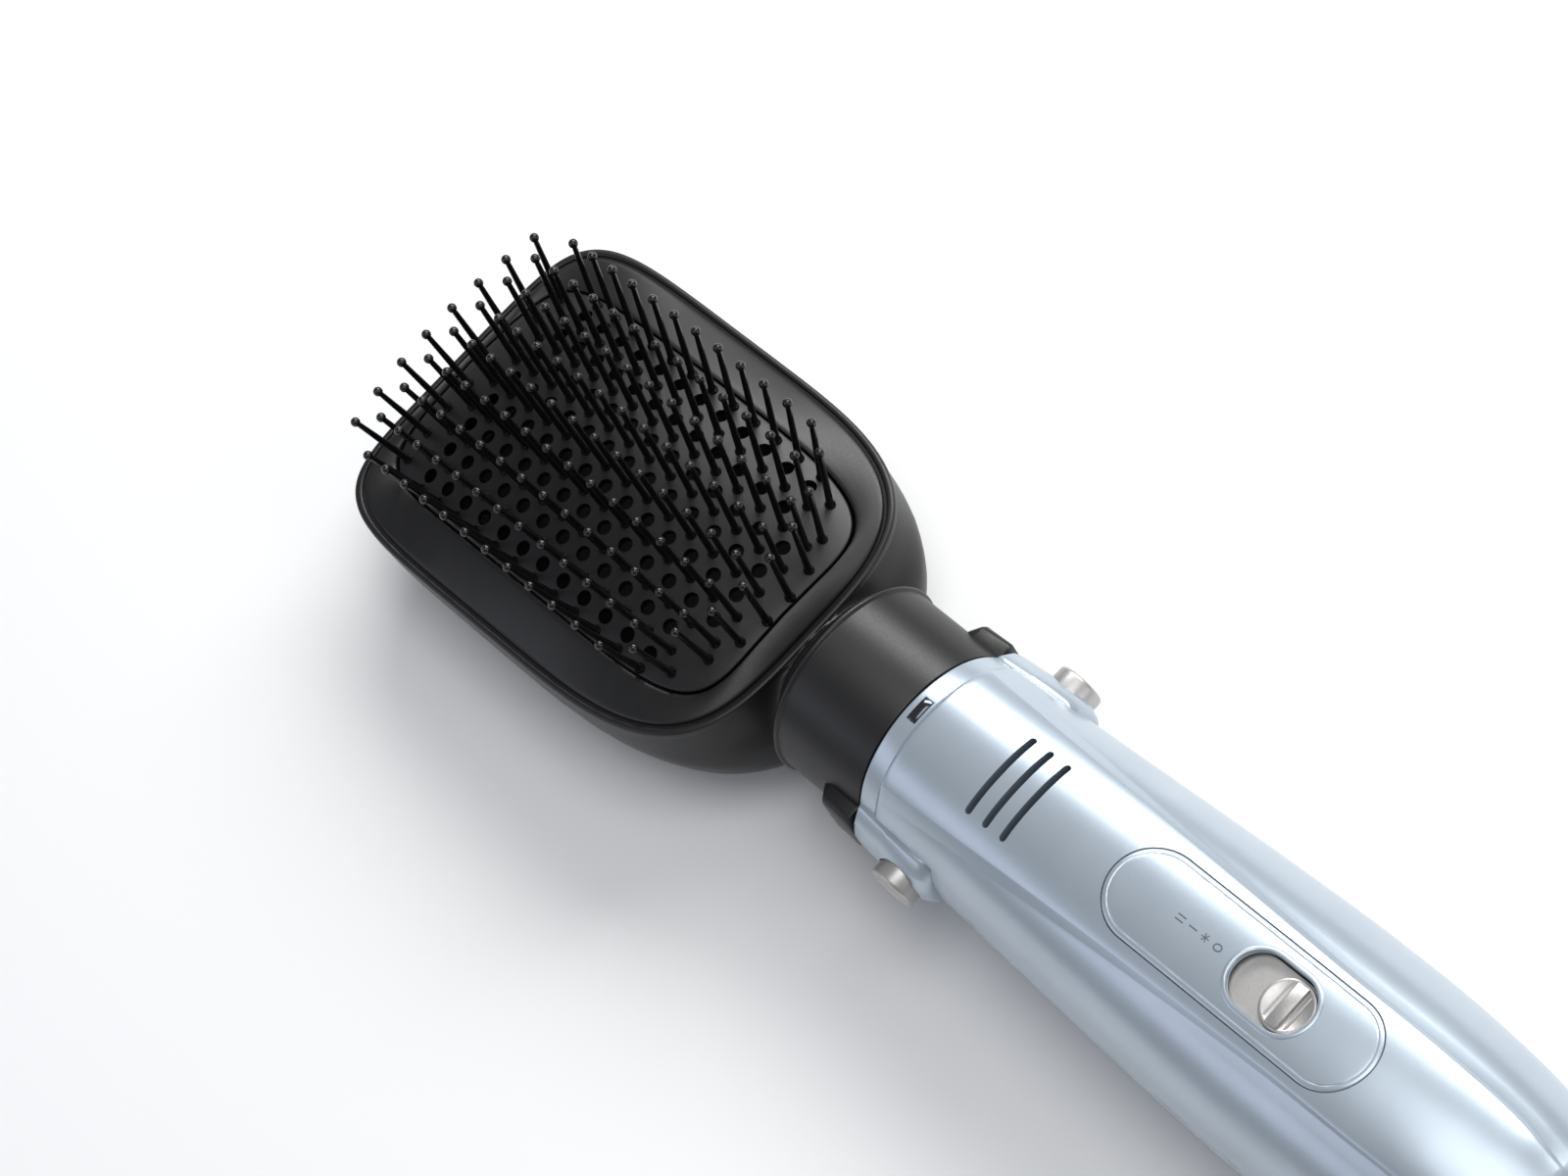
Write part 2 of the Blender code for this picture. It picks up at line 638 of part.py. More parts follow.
def front_collar():
    collar = place("front_collar", tube(0, COLLAR_WIDTH, COLLAR_R, SPIGOT_R + SLIDE_GAP, 32), PEARL)
    flanks = merged(*(prism(flank_outline(side), -FLANK_HALF_HEIGHT, FLANK_HALF_HEIGHT)
                      for side in (-1, 1)))
    flank = cutter("collar_flanks", flanks)
    boolean(flank, cutter("flank_bore", rod((-4, 0, 0), (FLANK_END + 4, 0, 0), SPIGOT_R + SLIDE_GAP, 32)))
    boolean(collar, flank, "UNION")
    seats = rod((BUTTON_X, -40, 0), (BUTTON_X, 40, 0), BUTTON_R + SLIDE_GAP, 24)
    boolean(collar, cutter("button_seats", seats))
    slot = block((MARK_X0 - GAP, -MARK_HALF - GAP, COLLAR_R - 1.0),
                 (MARK_X1 + GAP, MARK_HALF + GAP, COLLAR_R + 2))
    boolean(collar, cutter("mark_pocket", slot))


def index_mark():
    mark = block((MARK_X0, -MARK_HALF, COLLAR_R - 1.0 + GAP), (MARK_X1, MARK_HALF, COLLAR_R + 0.1))
    place("index_mark", mark, CHROME)


def handle_shells():
    start = COLLAR_WIDTH + GAP
    cavity = cutter("handle_cavity", handle_body(HANDLE_WALL, start - 2, HANDLE_END - TAIL_WALL))
    opening = cutter("tail_opening", rod((HANDLE_END - 18, 0, 0), (HANDLE_END + 5, 0, 0), GRILLE_R + GAP, 32))
    seats = cutter("flank_seats", merged(
        *(prism(flank_outline(side, GAP), -FLANK_HALF_HEIGHT - GAP, FLANK_HALF_HEIGHT + GAP)
          for side in (-1, 1))))
    for name, low, high in (("upper_shell", GAP / 2, 60), ("lower_shell", -60, -GAP / 2)):
        shell = place(name, handle_body(0, start, HANDLE_END), PEARL)
        half = block((-10, -60, low), (HANDLE_END + 30, 60, high))
        boolean(shell, cutter(name + "_half", half), "INTERSECT")
        for cut in (cavity, opening, seats):
            boolean(shell, cut)
        if name == "upper_shell":
            panel_seat(shell)
            top_vents(shell)
            post = rod((TAIL_SCREW_X, 0, -14), (TAIL_SCREW_X, 0, 22), BOSS_R, 16)
            boolean(shell, cutter("screw_post", post), "UNION")
            hole = rod((TAIL_SCREW_X, 0, -15), (TAIL_SCREW_X, 0, -4), SCREW_SHANK_R + GAP, 12)
            boolean(shell, cutter("post_hole", hole))
        else:
            hole = rod((TAIL_SCREW_X, 0, -60), (TAIL_SCREW_X, 0, -10), SCREW_SHANK_R + GAP, 12)
            boolean(shell, cutter("tail_screw_hole", hole))
            head = rod((TAIL_SCREW_X, 0, -60), (TAIL_SCREW_X, 0, tail_screw_seat()), SCREW_HEAD_R + GAP, 16)
            boolean(shell, cutter("tail_screw_seat", head))


def top_vents(shell):
    vents = []
    for k in range(3):
        x = VENT_FIRST_X + k * VENT_PITCH
        vents.append(block((x - VENT_WIDTH / 2, -VENT_HALF_LENGTH, 15),
                           (x + VENT_WIDTH / 2, VENT_HALF_LENGTH, 30)))
    boolean(shell, cutter("top_vents", merged(*vents)))


def tail_screw_seat():
    """Height of the face in the lower shell that the tail screw's head bears on."""
    return handle_at(TAIL_SCREW_X)[2] + SCREW_SEAT


def panel_seat(shell):
    """Sinks the pocket for the switch panel, and opens the slot that the slider runs in below it."""
    outline = stadium(PANEL_X, PANEL_LENGTH + 2 * GAP, PANEL_WIDTH + 2 * GAP)
    seat = cutter("panel_pocket", prism(outline, 10, 40))
    boolean(seat, cutter("panel_pocket_floor", handle_body(PANEL_THICK + GAP, 40, 150)))
    boolean(shell, seat)
    run = slider_length() + KNOB_TRAVEL + 2 * SLIDE_GAP
    slot = stadium(WELL_X, run, SLIDER_WIDTH + 2 * SLIDE_GAP)
    boolean(shell, cutter("slider_slot", prism(slot, 10, 40)))


def switch_panel():
    panel = place("switch_panel", prism(stadium(PANEL_X, PANEL_LENGTH, PANEL_WIDTH), 12, 40), PEARL)
    boolean(panel, cutter("panel_top", handle_body(0, 40, 150)), "INTERSECT")
    boolean(panel, cutter("panel_under", handle_body(PANEL_THICK, 42, 148)))
    boolean(panel, cutter("panel_well", prism(stadium(WELL_X, WELL_LENGTH, WELL_WIDTH), 8, 42)))


def slider_length():
    """The plate still closes the well at the end of the knob's travel."""
    return WELL_LENGTH + KNOB_TRAVEL + SLIDER_OVERLAP


def knob_place():
    """(x, top of the panel) where the knob rests, at the tail end of the well."""
    x = WELL_X + WELL_LENGTH / 2 - WELL_WIDTH / 2 + SLIDE_GAP
    return x, handle_at(x)[1]


def slider_low():
    return knob_place()[1] - PANEL_THICK - SLIDER_BELOW - SLIDER_THICK


def switch_knob():
    x, surface = knob_place()
    top = surface - KNOB_BELOW_TOP
    low = slider_low()
    outline = stadium(WELL_X + KNOB_TRAVEL / 2, slider_length(), SLIDER_WIDTH, 6)
    knob = place("switch_knob", prism(outline, low, low + SLIDER_THICK), SATIN, origin=(x, 0, top))
    disc = rod((x, 0, low + SLIDER_THICK / 2), (x, 0, top - 0.6), KNOB_R, 32)
    boolean(knob, cutter("knob_disc", disc), "UNION")
    reach = KNOB_R - 0.9
    rib = block((x - KNOB_RIB_HALF, -reach, top - 1.2), (x + KNOB_RIB_HALF, reach, top))
    boolean(knob, cutter("knob_rib", rib), "UNION")


def electrics():
    switch_top = slider_low() - GAP
    board_top = switch_top - SWITCH_THICK - GAP
    switch = block((WELL_X - 11, -4.5, board_top + GAP), (WELL_X + 11, 4.5, switch_top))
    place("slide_switch", switch, WHITE)
    board = block((58, -8.5, board_top - BOARD_THICK), (WELL_X + 14, 8.5, board_top))
    place("control_board", board, BOARD)


def release_buttons():
    for name, side in (("release_button_left", -1), ("release_button_right", 1)):
        out = (BUTTON_X, side * BUTTON_OUT, 0)
        shape = rod((BUTTON_X, side * BUTTON_IN, 0), out, BUTTON_R, 24)
        button = place(name, shape, SATIN, origin=out)
        ends = sorted((side * HOOK_TIP, side * (BUTTON_IN + 1)))
        hook = block((BUTTON_X - HOOK_HALF, ends[0], -HOOK_HALF), (BUTTON_X + HOOK_HALF, ends[1], HOOK_HALF))
        boolean(button, cutter(name + "_hook", hook), "UNION")


# ======================================================================================
# blower
# ======================================================================================
def heater():
    outer = DUCT_R - SLEEVE_GAP
    place("heater_sleeve", tube(HEATER_X0, HEATER_X1, outer, outer - DUCT_WALL, 32), STEEL)
    half = MICA_THICK / 2
    x0, x1 = HEATER_X0 + 3, HEATER_X1 - 3
    frame = place("mica_frame", block((x0, -MICA_HALF, -half), (x1, MICA_HALF, half)), MICA)
    cross = block((x0 + 0.2, -half, -MICA_HALF), (x1 - 0.2, half, MICA_HALF))
    boolean(frame, cutter("mica_cross", cross), "UNION")
    coil_x0, coil_x1 = HEATER_X0 + 12, HEATER_X1 - 12
    steps = COIL_TURNS * 10
    rings = []
    for k in range(steps + 1):
        a = 2 * math.pi * k / 10
        middle = Vector((coil_x0 + (coil_x1 - coil_x0) * k / steps, 0, 0))
        out = Vector((0, math.cos(a), math.sin(a)))
        along = Vector((COIL_WIRE, 0, 0))
        rings.append([middle + out * (COIL_R + COIL_WIRE * math.cos(b)) + along * math.sin(b)
                      for b in (2 * math.pi * j / 4 for j in range(4))])
    place("heater_coil", loft(rings), WIRE)
    place("thermostat", rod((HEATER_X1 + 1.5, 0, -4), (HEATER_X1 + 1.5, 0, 4), 4.0, 16), STEEL)


def blower():
    outer = DUCT_R - GAP
    bore = outer - DUCT_WALL
    place("fan_duct", tube(DUCT_X0, DUCT_X1, outer, bore, 32), WHITE)
    place("motor", tube(MOTOR_X0, MOTOR_X1, MOTOR_R, SHAFT_R + SLIDE_GAP, 32), STEEL)
    mount = place("motor_mount", tube(MOTOR_X0 + 8, MOTOR_X0 + 13, bore - GAP, MOTOR_R + GAP, 32), RUBBER)
    port_ring = (bore + MOTOR_R) / 2
    port_r = (bore - MOTOR_R) * 0.37
    ports = []
    for k in range(6):
        a = 2 * math.pi * k / 6
        y, z = port_ring * math.cos(a), port_ring * math.sin(a)
        ports.append(rod((MOTOR_X0 + 4, y, z), (MOTOR_X0 + 17, y, z), port_r, 6))
    boolean(mount, cutter("mount_ports", merged(*ports)))
    shaft = rod((MOTOR_X0 - 3, 0, 0), (IMPELLER_X1 + 1, 0, 0), SHAFT_R, 16)
    place("motor_shaft", shaft, STEEL, origin=(MOTOR_X0, 0, 0))
    impeller_ring = tube(IMPELLER_X0, IMPELLER_X1, HUB_R, SHAFT_R + GAP, 24)
    hub = place("impeller", impeller_ring, WHITE, origin=(IMPELLER_X0, 0, 0))
    half_chord = (IMPELLER_X1 - IMPELLER_X0) / 2 - 0.6
    angle = math.radians(BLADE_PITCH)
    # a pitched blade's corners lie further out than its middle, and they set its reach
    half_height = half_chord * math.sin(angle) + BLADE_HALF * math.cos(angle)
    reach = math.sqrt((bore - SLIDE_GAP) ** 2 - half_height ** 2)
    pitch = Matrix.Rotation(angle, 4, "Y")
    centre = Matrix.Translation(((IMPELLER_X0 + IMPELLER_X1) / 2, 0, 0))
    blades = []
    for k in range(IMPELLER_BLADES):
        blade = block((-half_chord, HUB_R - 0.9, -BLADE_HALF), (half_chord, reach, BLADE_HALF))
        spin = Matrix.Rotation(2 * math.pi * k / IMPELLER_BLADES, 4, "X")
        bmesh.ops.transform(blade, matrix=centre @ spin @ pitch, verts=blade.verts)
        blades.append(blade)
    boolean(hub, cutter("impeller_blades", merged(*blades)), "UNION")


def tail():
    x0 = HANDLE_END - GRILLE_RECESS
    bore = GLAND_R + SLIDE_GAP
    grille = place("rear_grille", tube(x0, x0 + GRILLE_THICK, GRILLE_R, bore, 32), BLACK)
    slots = []
    for k in range(GRILLE_SLOTS):
        slot = block((x0 - 2, bore + 1.9, -0.9), (x0 + GRILLE_THICK + 2, GRILLE_R - 2, 0.9))
        turn = Matrix.Rotation(2 * math.pi * k / GRILLE_SLOTS, 3, "X")
        bmesh.ops.rotate(slot, cent=(0, 0, 0), matrix=turn, verts=slot.verts)
        slots.append(slot)
    boolean(grille, cutter("grille_slots", merged(*slots)))
    foam = tube(FILTER_X, FILTER_X + FILTER_THICK, GRILLE_R - 1, bore, 24)
    place("intake_filter", foam, FOAM)
    inner = FILTER_X - 2
    profile = [(inner, GLAND_BORE_R), (X_TAIL, GLAND_BORE_R), (X_TAIL, GLAND_R - 1.2), (X_TAIL - 2, GLAND_R),
               (x0 - GAP, GLAND_R), (inner, GLAND_R)]
    place("cord_gland", turned(profile, 24), RUBBER, origin=(HANDLE_END, 0, 0))
    seat = tail_screw_seat()
    turns = np.linspace(0, 2 * math.pi, 13)[:-1]
    outline = ((SCREW_HEAD_R, seat - 1.2), (SCREW_HEAD_R, seat - GAP), (SCREW_SHANK_R, seat - GAP),
               (SCREW_SHANK_R, -6))
    rings = [[(TAIL_SCREW_X + r * math.cos(a), r * math.sin(a), z) for a in turns] for r, z in outline]
    place("tail_screw", loft(rings), STEEL, origin=(TAIL_SCREW_X, 0, seat))


head_shell()
head_back_cover()
head_screws()
face_frame()
bristle_plate()
bristle_strips()
air_guide()
neck_tube()
front_collar()
index_mark()
handle_shells()
switch_panel()
switch_knob()
electrics()
release_buttons()
heater()
blower()
tail()
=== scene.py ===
# %% [markdown]
# # A hot air brush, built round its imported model
# The brush lies on a table with its bristles up: a black paddle head, a short neck, and a
# handle in pearl lacquer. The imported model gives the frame: it holds every piece at its real
# size and place, and knows what moves. This file gives each visible piece a finer mesh and
# every piece a finish. Each new piece rides on the body it belongs to, so it follows the motion.

# %% Load the frame
import math

import bmesh
import bpy
import numpy as np
from mathutils import Matrix, Vector
from mathutils.bvhtree import BVHTree


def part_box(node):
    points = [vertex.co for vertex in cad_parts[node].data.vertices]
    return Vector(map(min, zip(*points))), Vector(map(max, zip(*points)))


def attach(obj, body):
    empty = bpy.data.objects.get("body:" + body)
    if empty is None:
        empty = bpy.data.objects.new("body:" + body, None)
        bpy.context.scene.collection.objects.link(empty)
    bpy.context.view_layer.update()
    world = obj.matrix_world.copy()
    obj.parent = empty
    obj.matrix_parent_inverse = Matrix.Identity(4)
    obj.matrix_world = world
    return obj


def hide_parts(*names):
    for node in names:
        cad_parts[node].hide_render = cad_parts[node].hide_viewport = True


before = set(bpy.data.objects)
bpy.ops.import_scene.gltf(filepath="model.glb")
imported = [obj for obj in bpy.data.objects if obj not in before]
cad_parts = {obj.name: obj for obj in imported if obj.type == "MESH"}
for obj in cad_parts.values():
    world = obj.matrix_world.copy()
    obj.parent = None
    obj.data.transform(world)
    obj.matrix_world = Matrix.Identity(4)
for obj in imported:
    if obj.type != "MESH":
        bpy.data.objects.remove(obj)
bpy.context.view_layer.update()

# %% [markdown]
# ## One origin for all the shapes
# The maker's drawing measures from the front edge of the handle's collar, on the axis that the
# air blows along: X runs to the tail, Z up out of the bristles, and all sizes are millimetres.
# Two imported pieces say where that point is, so nothing here has to be fitted by eye.

# %% The drawing's origin
MM = 0.001
collar_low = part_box("front_collar")[0]
shaft_low, shaft_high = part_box("motor_shaft")
ORIGIN = Vector((collar_low.x, 0, (shaft_low.z + shaft_high.z) / 2))
print("drawing origin", [round(v, 5) for v in ORIGIN])

# %% Sizes shared by several pieces, in millimetres
NECK_R, NECK_LENGTH = 23.0, 26.6
BORE_R = 18.2
SPIGOT_R, SPIGOT_LENGTH = 20.0, 16.0
HEAD_PLUG_R, HEAD_PLUG_LENGTH = 20.6, 5.0
COLLAR_R, COLLAR_WIDTH = 23.2, 5.0
FLANK_END, FLANK_OUT = 23.0, 27.3
BUTTON_X, BUTTON_R = 14.5, 5.6
PAD_X = -98.0
PAD_NEAR, PAD_FAR, PAD_HALF_WIDTH = 52.8, 56.3, 31.3
RIM_NEAR, RIM_FAR, RIM_HALF_WIDTH = 57.9, 60.0, 42.4
PAD_POWERS, RIM_POWERS = (5.0, 8.0), (3.6, 6.0)
FACE_TILT = 0.061
RIM_Z = 1.0
BACK_Z = -24.0
ROW_PITCH, COLUMN_PITCH, ROWS = 7.0, 7.2, 14
HANDLE_END = 178.0
PANEL_X, PANEL_LENGTH, PANEL_WIDTH = 96.5, 71.0, 21.4
WELL_X, WELL_LENGTH, WELL_WIDTH = 105.25, 20.9, 14.0

# %% [markdown]
# ## Mesh helpers
# Most of the pieces are *skins*: rings of points with faces stretched between them. A turned
# piece, a lofted shell and a bristle are all skins with different rings, so one function makes
# the faces for all of them.

# %% Skins, lathes and slabs
def skin(rings, loop=False, caps=True, closed=True):
    """Faces between rings of equal counts. `loop` joins the last ring to the first one."""
    count = len(rings[0])
    points = [tuple(p) for ring in rings for p in ring]
    faces = []
    last = len(rings) if loop else len(rings) - 1
    for a in range(last):
        b = (a + 1) % len(rings)
        for i in range(count if closed else count - 1):
            j = (i + 1) % count
            faces.append((a * count + i, a * count + j, b * count + j, b * count + i))
    if caps and not loop:
        faces.append(tuple(range(count)))
        faces.append(tuple(range((len(rings) - 1) * count, len(rings) * count)))
    return points, faces


def together(*shapes):
    """Several shapes as one."""
    points, faces = [], []
    for some, more in shapes:
        start = len(points)
        points += list(some)
        faces += [tuple(i + start for i in face) for face in more]
    return points, faces


def lathe(profile, sides=96):
    """Turns a closed section of (x, radius) about the air axis."""
    turns = [2 * math.pi * k / sides for k in range(sides)]
    return skin([[(x, r * math.cos(a), r * math.sin(a)) for x, r in profile] for a in turns], loop=True)


def rod(start, end, radius, sides=32, end_radius=None):
    """A cylinder or cone between two points."""
    start, end = Vector(start), Vector(end)
    along = (end - start).normalized()
    across = along.orthogonal().normalized()
    other = along.cross(across)
    rings = []
    for centre, r in ((start, radius), (end, radius if end_radius is None else end_radius)):
        rings.append([centre + (across * math.cos(a) + other * math.sin(a)) * r
                      for a in (2 * math.pi * k / sides for k in range(sides))])
    return skin(rings)


def slab(outline, low, high, axis="Z"):
    """A flat outline given a thickness, along Z, or along X for an outline of (y, z)."""
    if axis == "X":
        return skin([[(h, y, z) for y, z in outline] for h in (low, high)])
    return skin([[(x, y, h) for x, y in outline] for h in (low, high)])


def box_shape(low, high):
    (x0, y0, z0), (x1, y1, z1) = low, high
    return slab([(x0, y0), (x1, y0), (x1, y1), (x0, y1)], z0, z1)


def stadium(x, length, width, arc=16):
    """The outline of a slot with round ends, along X."""
    radius = width / 2
    reach = length / 2 - radius
    points = []
    for side in (1, -1):
        for k in range(arc + 1):
            a = math.radians(-90 + 180 * k / arc)
            points.append((x + side * (reach + radius * math.cos(a)), side * radius * math.sin(a)))
    return points


def corner(centre, radius, start, end, steps=4):
    """Points of a rounded corner, for a section drawn as (x, radius)."""
    angles = [math.radians(start + (end - start) * k / steps) for k in range(steps + 1)]
    return [(centre[0] + radius * math.cos(a), centre[1] + radius * math.sin(a)) for a in angles]


def smooth_through(xs, ys, x):
    """Reads a smooth curve through the points (xs, ys)."""
    xs, ys = np.asarray(xs, float), np.asarray(ys, float)
    slopes = np.gradient(ys, xs)
    x = np.asarray(x, float)
    k = np.clip(np.searchsorted(xs, x) - 1, 0, len(xs) - 2)
    step = xs[k + 1] - xs[k]
    t = np.clip((x - xs[k]) / step, 0, 1)
    start = ys[k] * (1 + 2 * t) * (1 - t) ** 2 + slopes[k] * step * t * (1 - t) ** 2
    return start + ys[k + 1] * t * t * (3 - 2 * t) + slopes[k + 1] * step * t * t * (t - 1)


# %% [markdown]
# ## From a shape to a piece
# A piece needs four things: its mesh, a finish, the body it rides on, and the CAD nodes that it
# stands for. Putting them in one call keeps each recipe below about its shape alone.

# %% Make a piece, cut it, and keep its shading
SHARP = math.radians(38)


def mesh_of(name, shape):
    points, faces = shape
    bm = bmesh.new()
    made = [bm.verts.new(ORIGIN + Vector(p) * MM) for p in points]
    for face in faces:
        bm.faces.new([made[i] for i in face])
    bmesh.ops.remove_doubles(bm, verts=bm.verts, dist=1e-7)
    bmesh.ops.recalc_face_normals(bm, faces=bm.faces)
    mesh = bpy.data.meshes.new(name)
    bm.to_mesh(mesh)
    bm.free()
    mesh.shade_smooth()
    mesh.set_sharp_from_angle(angle=SHARP)
    return mesh


def piece(name, shape, finish, body, *nodes):
    thing = bpy.data.objects.new(name, mesh_of(name, shape))
    bpy.context.scene.collection.objects.link(thing)
    thing.data.materials.append(finish)
    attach(thing, body)
    if nodes:
        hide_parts(*nodes)
    return thing


def settle(thing):
    """Applies the piece's modifiers."""
    graph = bpy.context.evaluated_depsgraph_get()
    mesh = bpy.data.meshes.new_from_object(thing.evaluated_get(graph))
    thing.modifiers.clear()
    thing.data = mesh
    return thing


def carve(thing, shape, operation="DIFFERENCE", solver="EXACT"):
    """Cuts a shape out of a piece, or joins or intersects the two."""
    tool = bpy.data.objects.new("tool", mesh_of("tool", shape))
    bpy.context.scene.collection.objects.link(tool)
    modifier = thing.modifiers.new("carve", "BOOLEAN")
    modifier.operation, modifier.solver, modifier.object = operation, solver, tool
    settle(thing)
    bpy.data.objects.remove(tool, do_unlink=True)
    thing.data.set_sharp_from_angle(angle=SHARP)
    return thing


def surface_of(thing):
    """What keep_shading needs to remember of a smooth surface before it is cut."""
    mesh = thing.data
    points = [v.co.copy() for v in mesh.vertices]
    normals = [n.vector.copy() for n in mesh.vertex_normals]
    faces = [tuple(p.vertices) for p in mesh.polygons]
    return BVHTree.FromPolygons(points, faces), points, normals, faces


def keep_shading(thing, surface, reach=0.05, spread=0.9):
    """Gives the corners that lie on the uncut surface its normals again, so a cut leaves no dents."""
    tree, points, normals, faces = surface
    mesh = thing.data
    found = [Vector(n.vector) for n in mesh.corner_normals]
    for polygon in mesh.polygons:
        for loop in polygon.loop_indices:
            co = mesh.vertices[mesh.loops[loop].vertex_index].co
            place, flat, index, away = tree.find_nearest(co)
            if index is None or away > reach * MM or flat.dot(polygon.normal) < spread:
                continue
            weights = [1 / ((points[i] - place).length + 1e-7) for i in faces[index]]
            mix = sum((normals[i] * w for i, w in zip(faces[index], weights)), Vector())
            found[loop] = mix.normalized()
    mesh.normals_split_custom_set(found)
    return thing


# %% [markdown]
# ## Finishes
# A finish starts from what the real surface is and how it was made. Colours are written as
# sRGB hex values, the way a paint chart gives them, and turned to the linear values that the
# shader works in. One helper adds a node with its settings and links.

# %% Colour and node helpers
def linear(hex_colour):
    """An sRGB hex value as linear RGBA."""
    parts = [int(hex_colour[i:i + 2], 16) / 255 for i in (1, 3, 5)]
    return [p / 12.92 if p <= 0.04045 else ((p + 0.055) / 1.055) ** 2.4 for p in parts] + [1.0]


def add(tree, kind, inputs=None, **settings):
    """Adds a node. An input given as a socket is linked, and any other value is set."""
    node = tree.nodes.new(kind)
    for key, value in settings.items():
        setattr(node, key, value)
    for key, value in (inputs or {}).items():
        if isinstance(value, bpy.types.NodeSocket):
            tree.links.new(value, node.inputs[key])
        else:
            node.inputs[key].default_value = value
    return node


def per_metre(size_mm):
    """The texture scale that makes a pattern repeat every size_mm."""
    return 1000.0 / size_mm


def finish(name, slot, colour, roughness, metallic=0.0, vary=0.04, grain_mm=0.5, bump=0.02,
           rough_vary=0.05, blotch_mm=18.0, **sockets):
    """A coloured surface with a slow drift in its colour, and a fine grain in its gloss and relief."""
    made = bpy.data.materials.new(name)
    made.use_nodes = True
    tree = made.node_tree
    shader = tree.nodes["Principled BSDF"]
    where = add(tree, "ShaderNodeTexCoord").outputs["Object"]
    drift = add(tree, "ShaderNodeTexNoise", {"Vector": where, "Scale": per_metre(blotch_mm), "Detail": 2.0})
    grain = add(tree, "ShaderNodeTexNoise", {"Vector": where, "Scale": per_metre(grain_mm), "Detail": 3.0})
    tone = add(tree, "ShaderNodeValToRGB", {"Fac": drift.outputs["Fac"]})
    base = linear(colour)
    for stop, side in zip(tone.color_ramp.elements, (-1, 1)):
        stop.position = 0.5 + 0.2 * side
        stop.color = [c * (1 + side * vary) for c in base[:3]] + [1.0]
    tree.links.new(tone.outputs["Color"], shader.inputs["Base Color"])
    gloss = add(tree, "ShaderNodeMapRange", {
        "Value": grain.outputs["Fac"], "From Min": 0.3, "From Max": 0.7,
        "To Min": roughness - rough_vary, "To Max": roughness + rough_vary})
    tree.links.new(gloss.outputs["Result"], shader.inputs["Roughness"])
    relief = add(tree, "ShaderNodeBump", {
        "Height": grain.outputs["Fac"], "Strength": 1.0, "Distance": bump * MM})
    tree.links.new(relief.outputs["Normal"], shader.inputs["Normal"])
    shader.inputs["Metallic"].default_value = metallic
    for key, value in sockets.items():
        shader.inputs[key.replace("_", " ")].default_value = value
    return made


# %% [markdown]
# The head, neck and frame are black polyamide, injection moulded in a spark-eroded steel
# tool: the tool's fine pits leave a satin surface that shows soft, wide highlights. The pits
# are about 0.05 mm, too fine to draw, so the grain here is 0.35 mm. The bristles are the same
# plastic from a polished tool, and their balls are glossy.

# %% Black plastics
black_polyamide = finish("black_moulded_polyamide", "black_plastic", "#121213", 0.4,
                         vary=0.1, grain_mm=0.35, bump=0.012, rough_vary=0.05, IOR=1.5)
pad_polyamide = finish("black_pad_polyamide", "black_plastic", "#0e0e0f", 0.42,
                       vary=0.12, grain_mm=0.3, bump=0.01, rough_vary=0.06, IOR=1.5)
polished_nylon = finish("polished_black_nylon", "black_plastic", "#0b0b0c", 0.2,
                        vary=0.08, grain_mm=0.6, bump=0.004, rough_vary=0.05, IOR=1.53)
print("black plastics", black_polyamide.name, pad_polyamide.name, polished_nylon.name)

# %% [markdown]
# The handle is ABS under pearl lacquer: mica flakes in a pale blue film, and a clear coat over
# it. The flakes make it half metallic, with broad highlights, and the clear coat adds a thin
# sharp one. The slide button and the two release buttons are ABS with a satin metal film.

# %% Pearl lacquer and metal film
pearl_lacquer = finish("pearl_lacquered_abs", "pearl_paint", "#b4c0cb", 0.33, metallic=0.6,
                       vary=0.03, grain_mm=0.22, bump=0.003, rough_vary=0.04,
                       Coat_Weight=0.25, Coat_Roughness=0.15, IOR=1.5)
satin_metal = finish("satin_metallised_abs", "satin_silver", "#bcbab8", 0.38, metallic=0.78,
                     vary=0.04, grain_mm=0.25, bump=0.006, rough_vary=0.08)
dark_chrome = finish("dark_chrome_plate", "dark_chrome", "#5d6066", 0.14, metallic=1.0,
                     vary=0.05, grain_mm=0.8, bump=0.002, rough_vary=0.03)
marking_ink = finish("grey_marking_ink", "pearl_paint", "#55585c", 0.5,
                     vary=0.05, grain_mm=0.3, bump=0.002, rough_vary=0.05)

# %% [markdown]
# What shows only through the vents, or when the head is off: a blued steel sleeve, the mica
# cross with its wire, a nylon fan, a zinc-plated motor can, rubber, foam and the circuit board.

# %% Inner finishes
blued_steel = finish("blued_steel", "steel", "#3a3d44", 0.35, metallic=1.0,
                     vary=0.12, grain_mm=0.8, bump=0.004)
zinc_steel = finish("zinc_plated_steel", "steel", "#a9aaac", 0.3, metallic=1.0,
                    vary=0.08, grain_mm=1.0, bump=0.004)
mica_board = finish("pressed_mica", "mica", "#b39b6d", 0.55,
                    vary=0.25, grain_mm=1.2, bump=0.03, blotch_mm=3.0)
nichrome = finish("oxidised_nichrome", "heater_wire", "#6c6259", 0.42, metallic=1.0,
                  vary=0.15, grain_mm=0.5, bump=0.01)
white_nylon = finish("white_moulded_nylon", "white_plastic", "#d9d8d2", 0.45,
                     vary=0.03, grain_mm=0.5, bump=0.01)
soft_rubber = finish("soft_black_rubber", "rubber", "#1b1b1b", 0.7, vary=0.12, grain_mm=0.6, bump=0.03)
filter_foam = finish("filter_foam", "foam", "#2a2b2d", 0.95, vary=0.3, grain_mm=0.7, bump=0.4, blotch_mm=4.0)
solder_mask = finish("green_solder_mask", "circuit_board", "#1d5c36", 0.35, vary=0.1, grain_mm=0.9, bump=0.01)

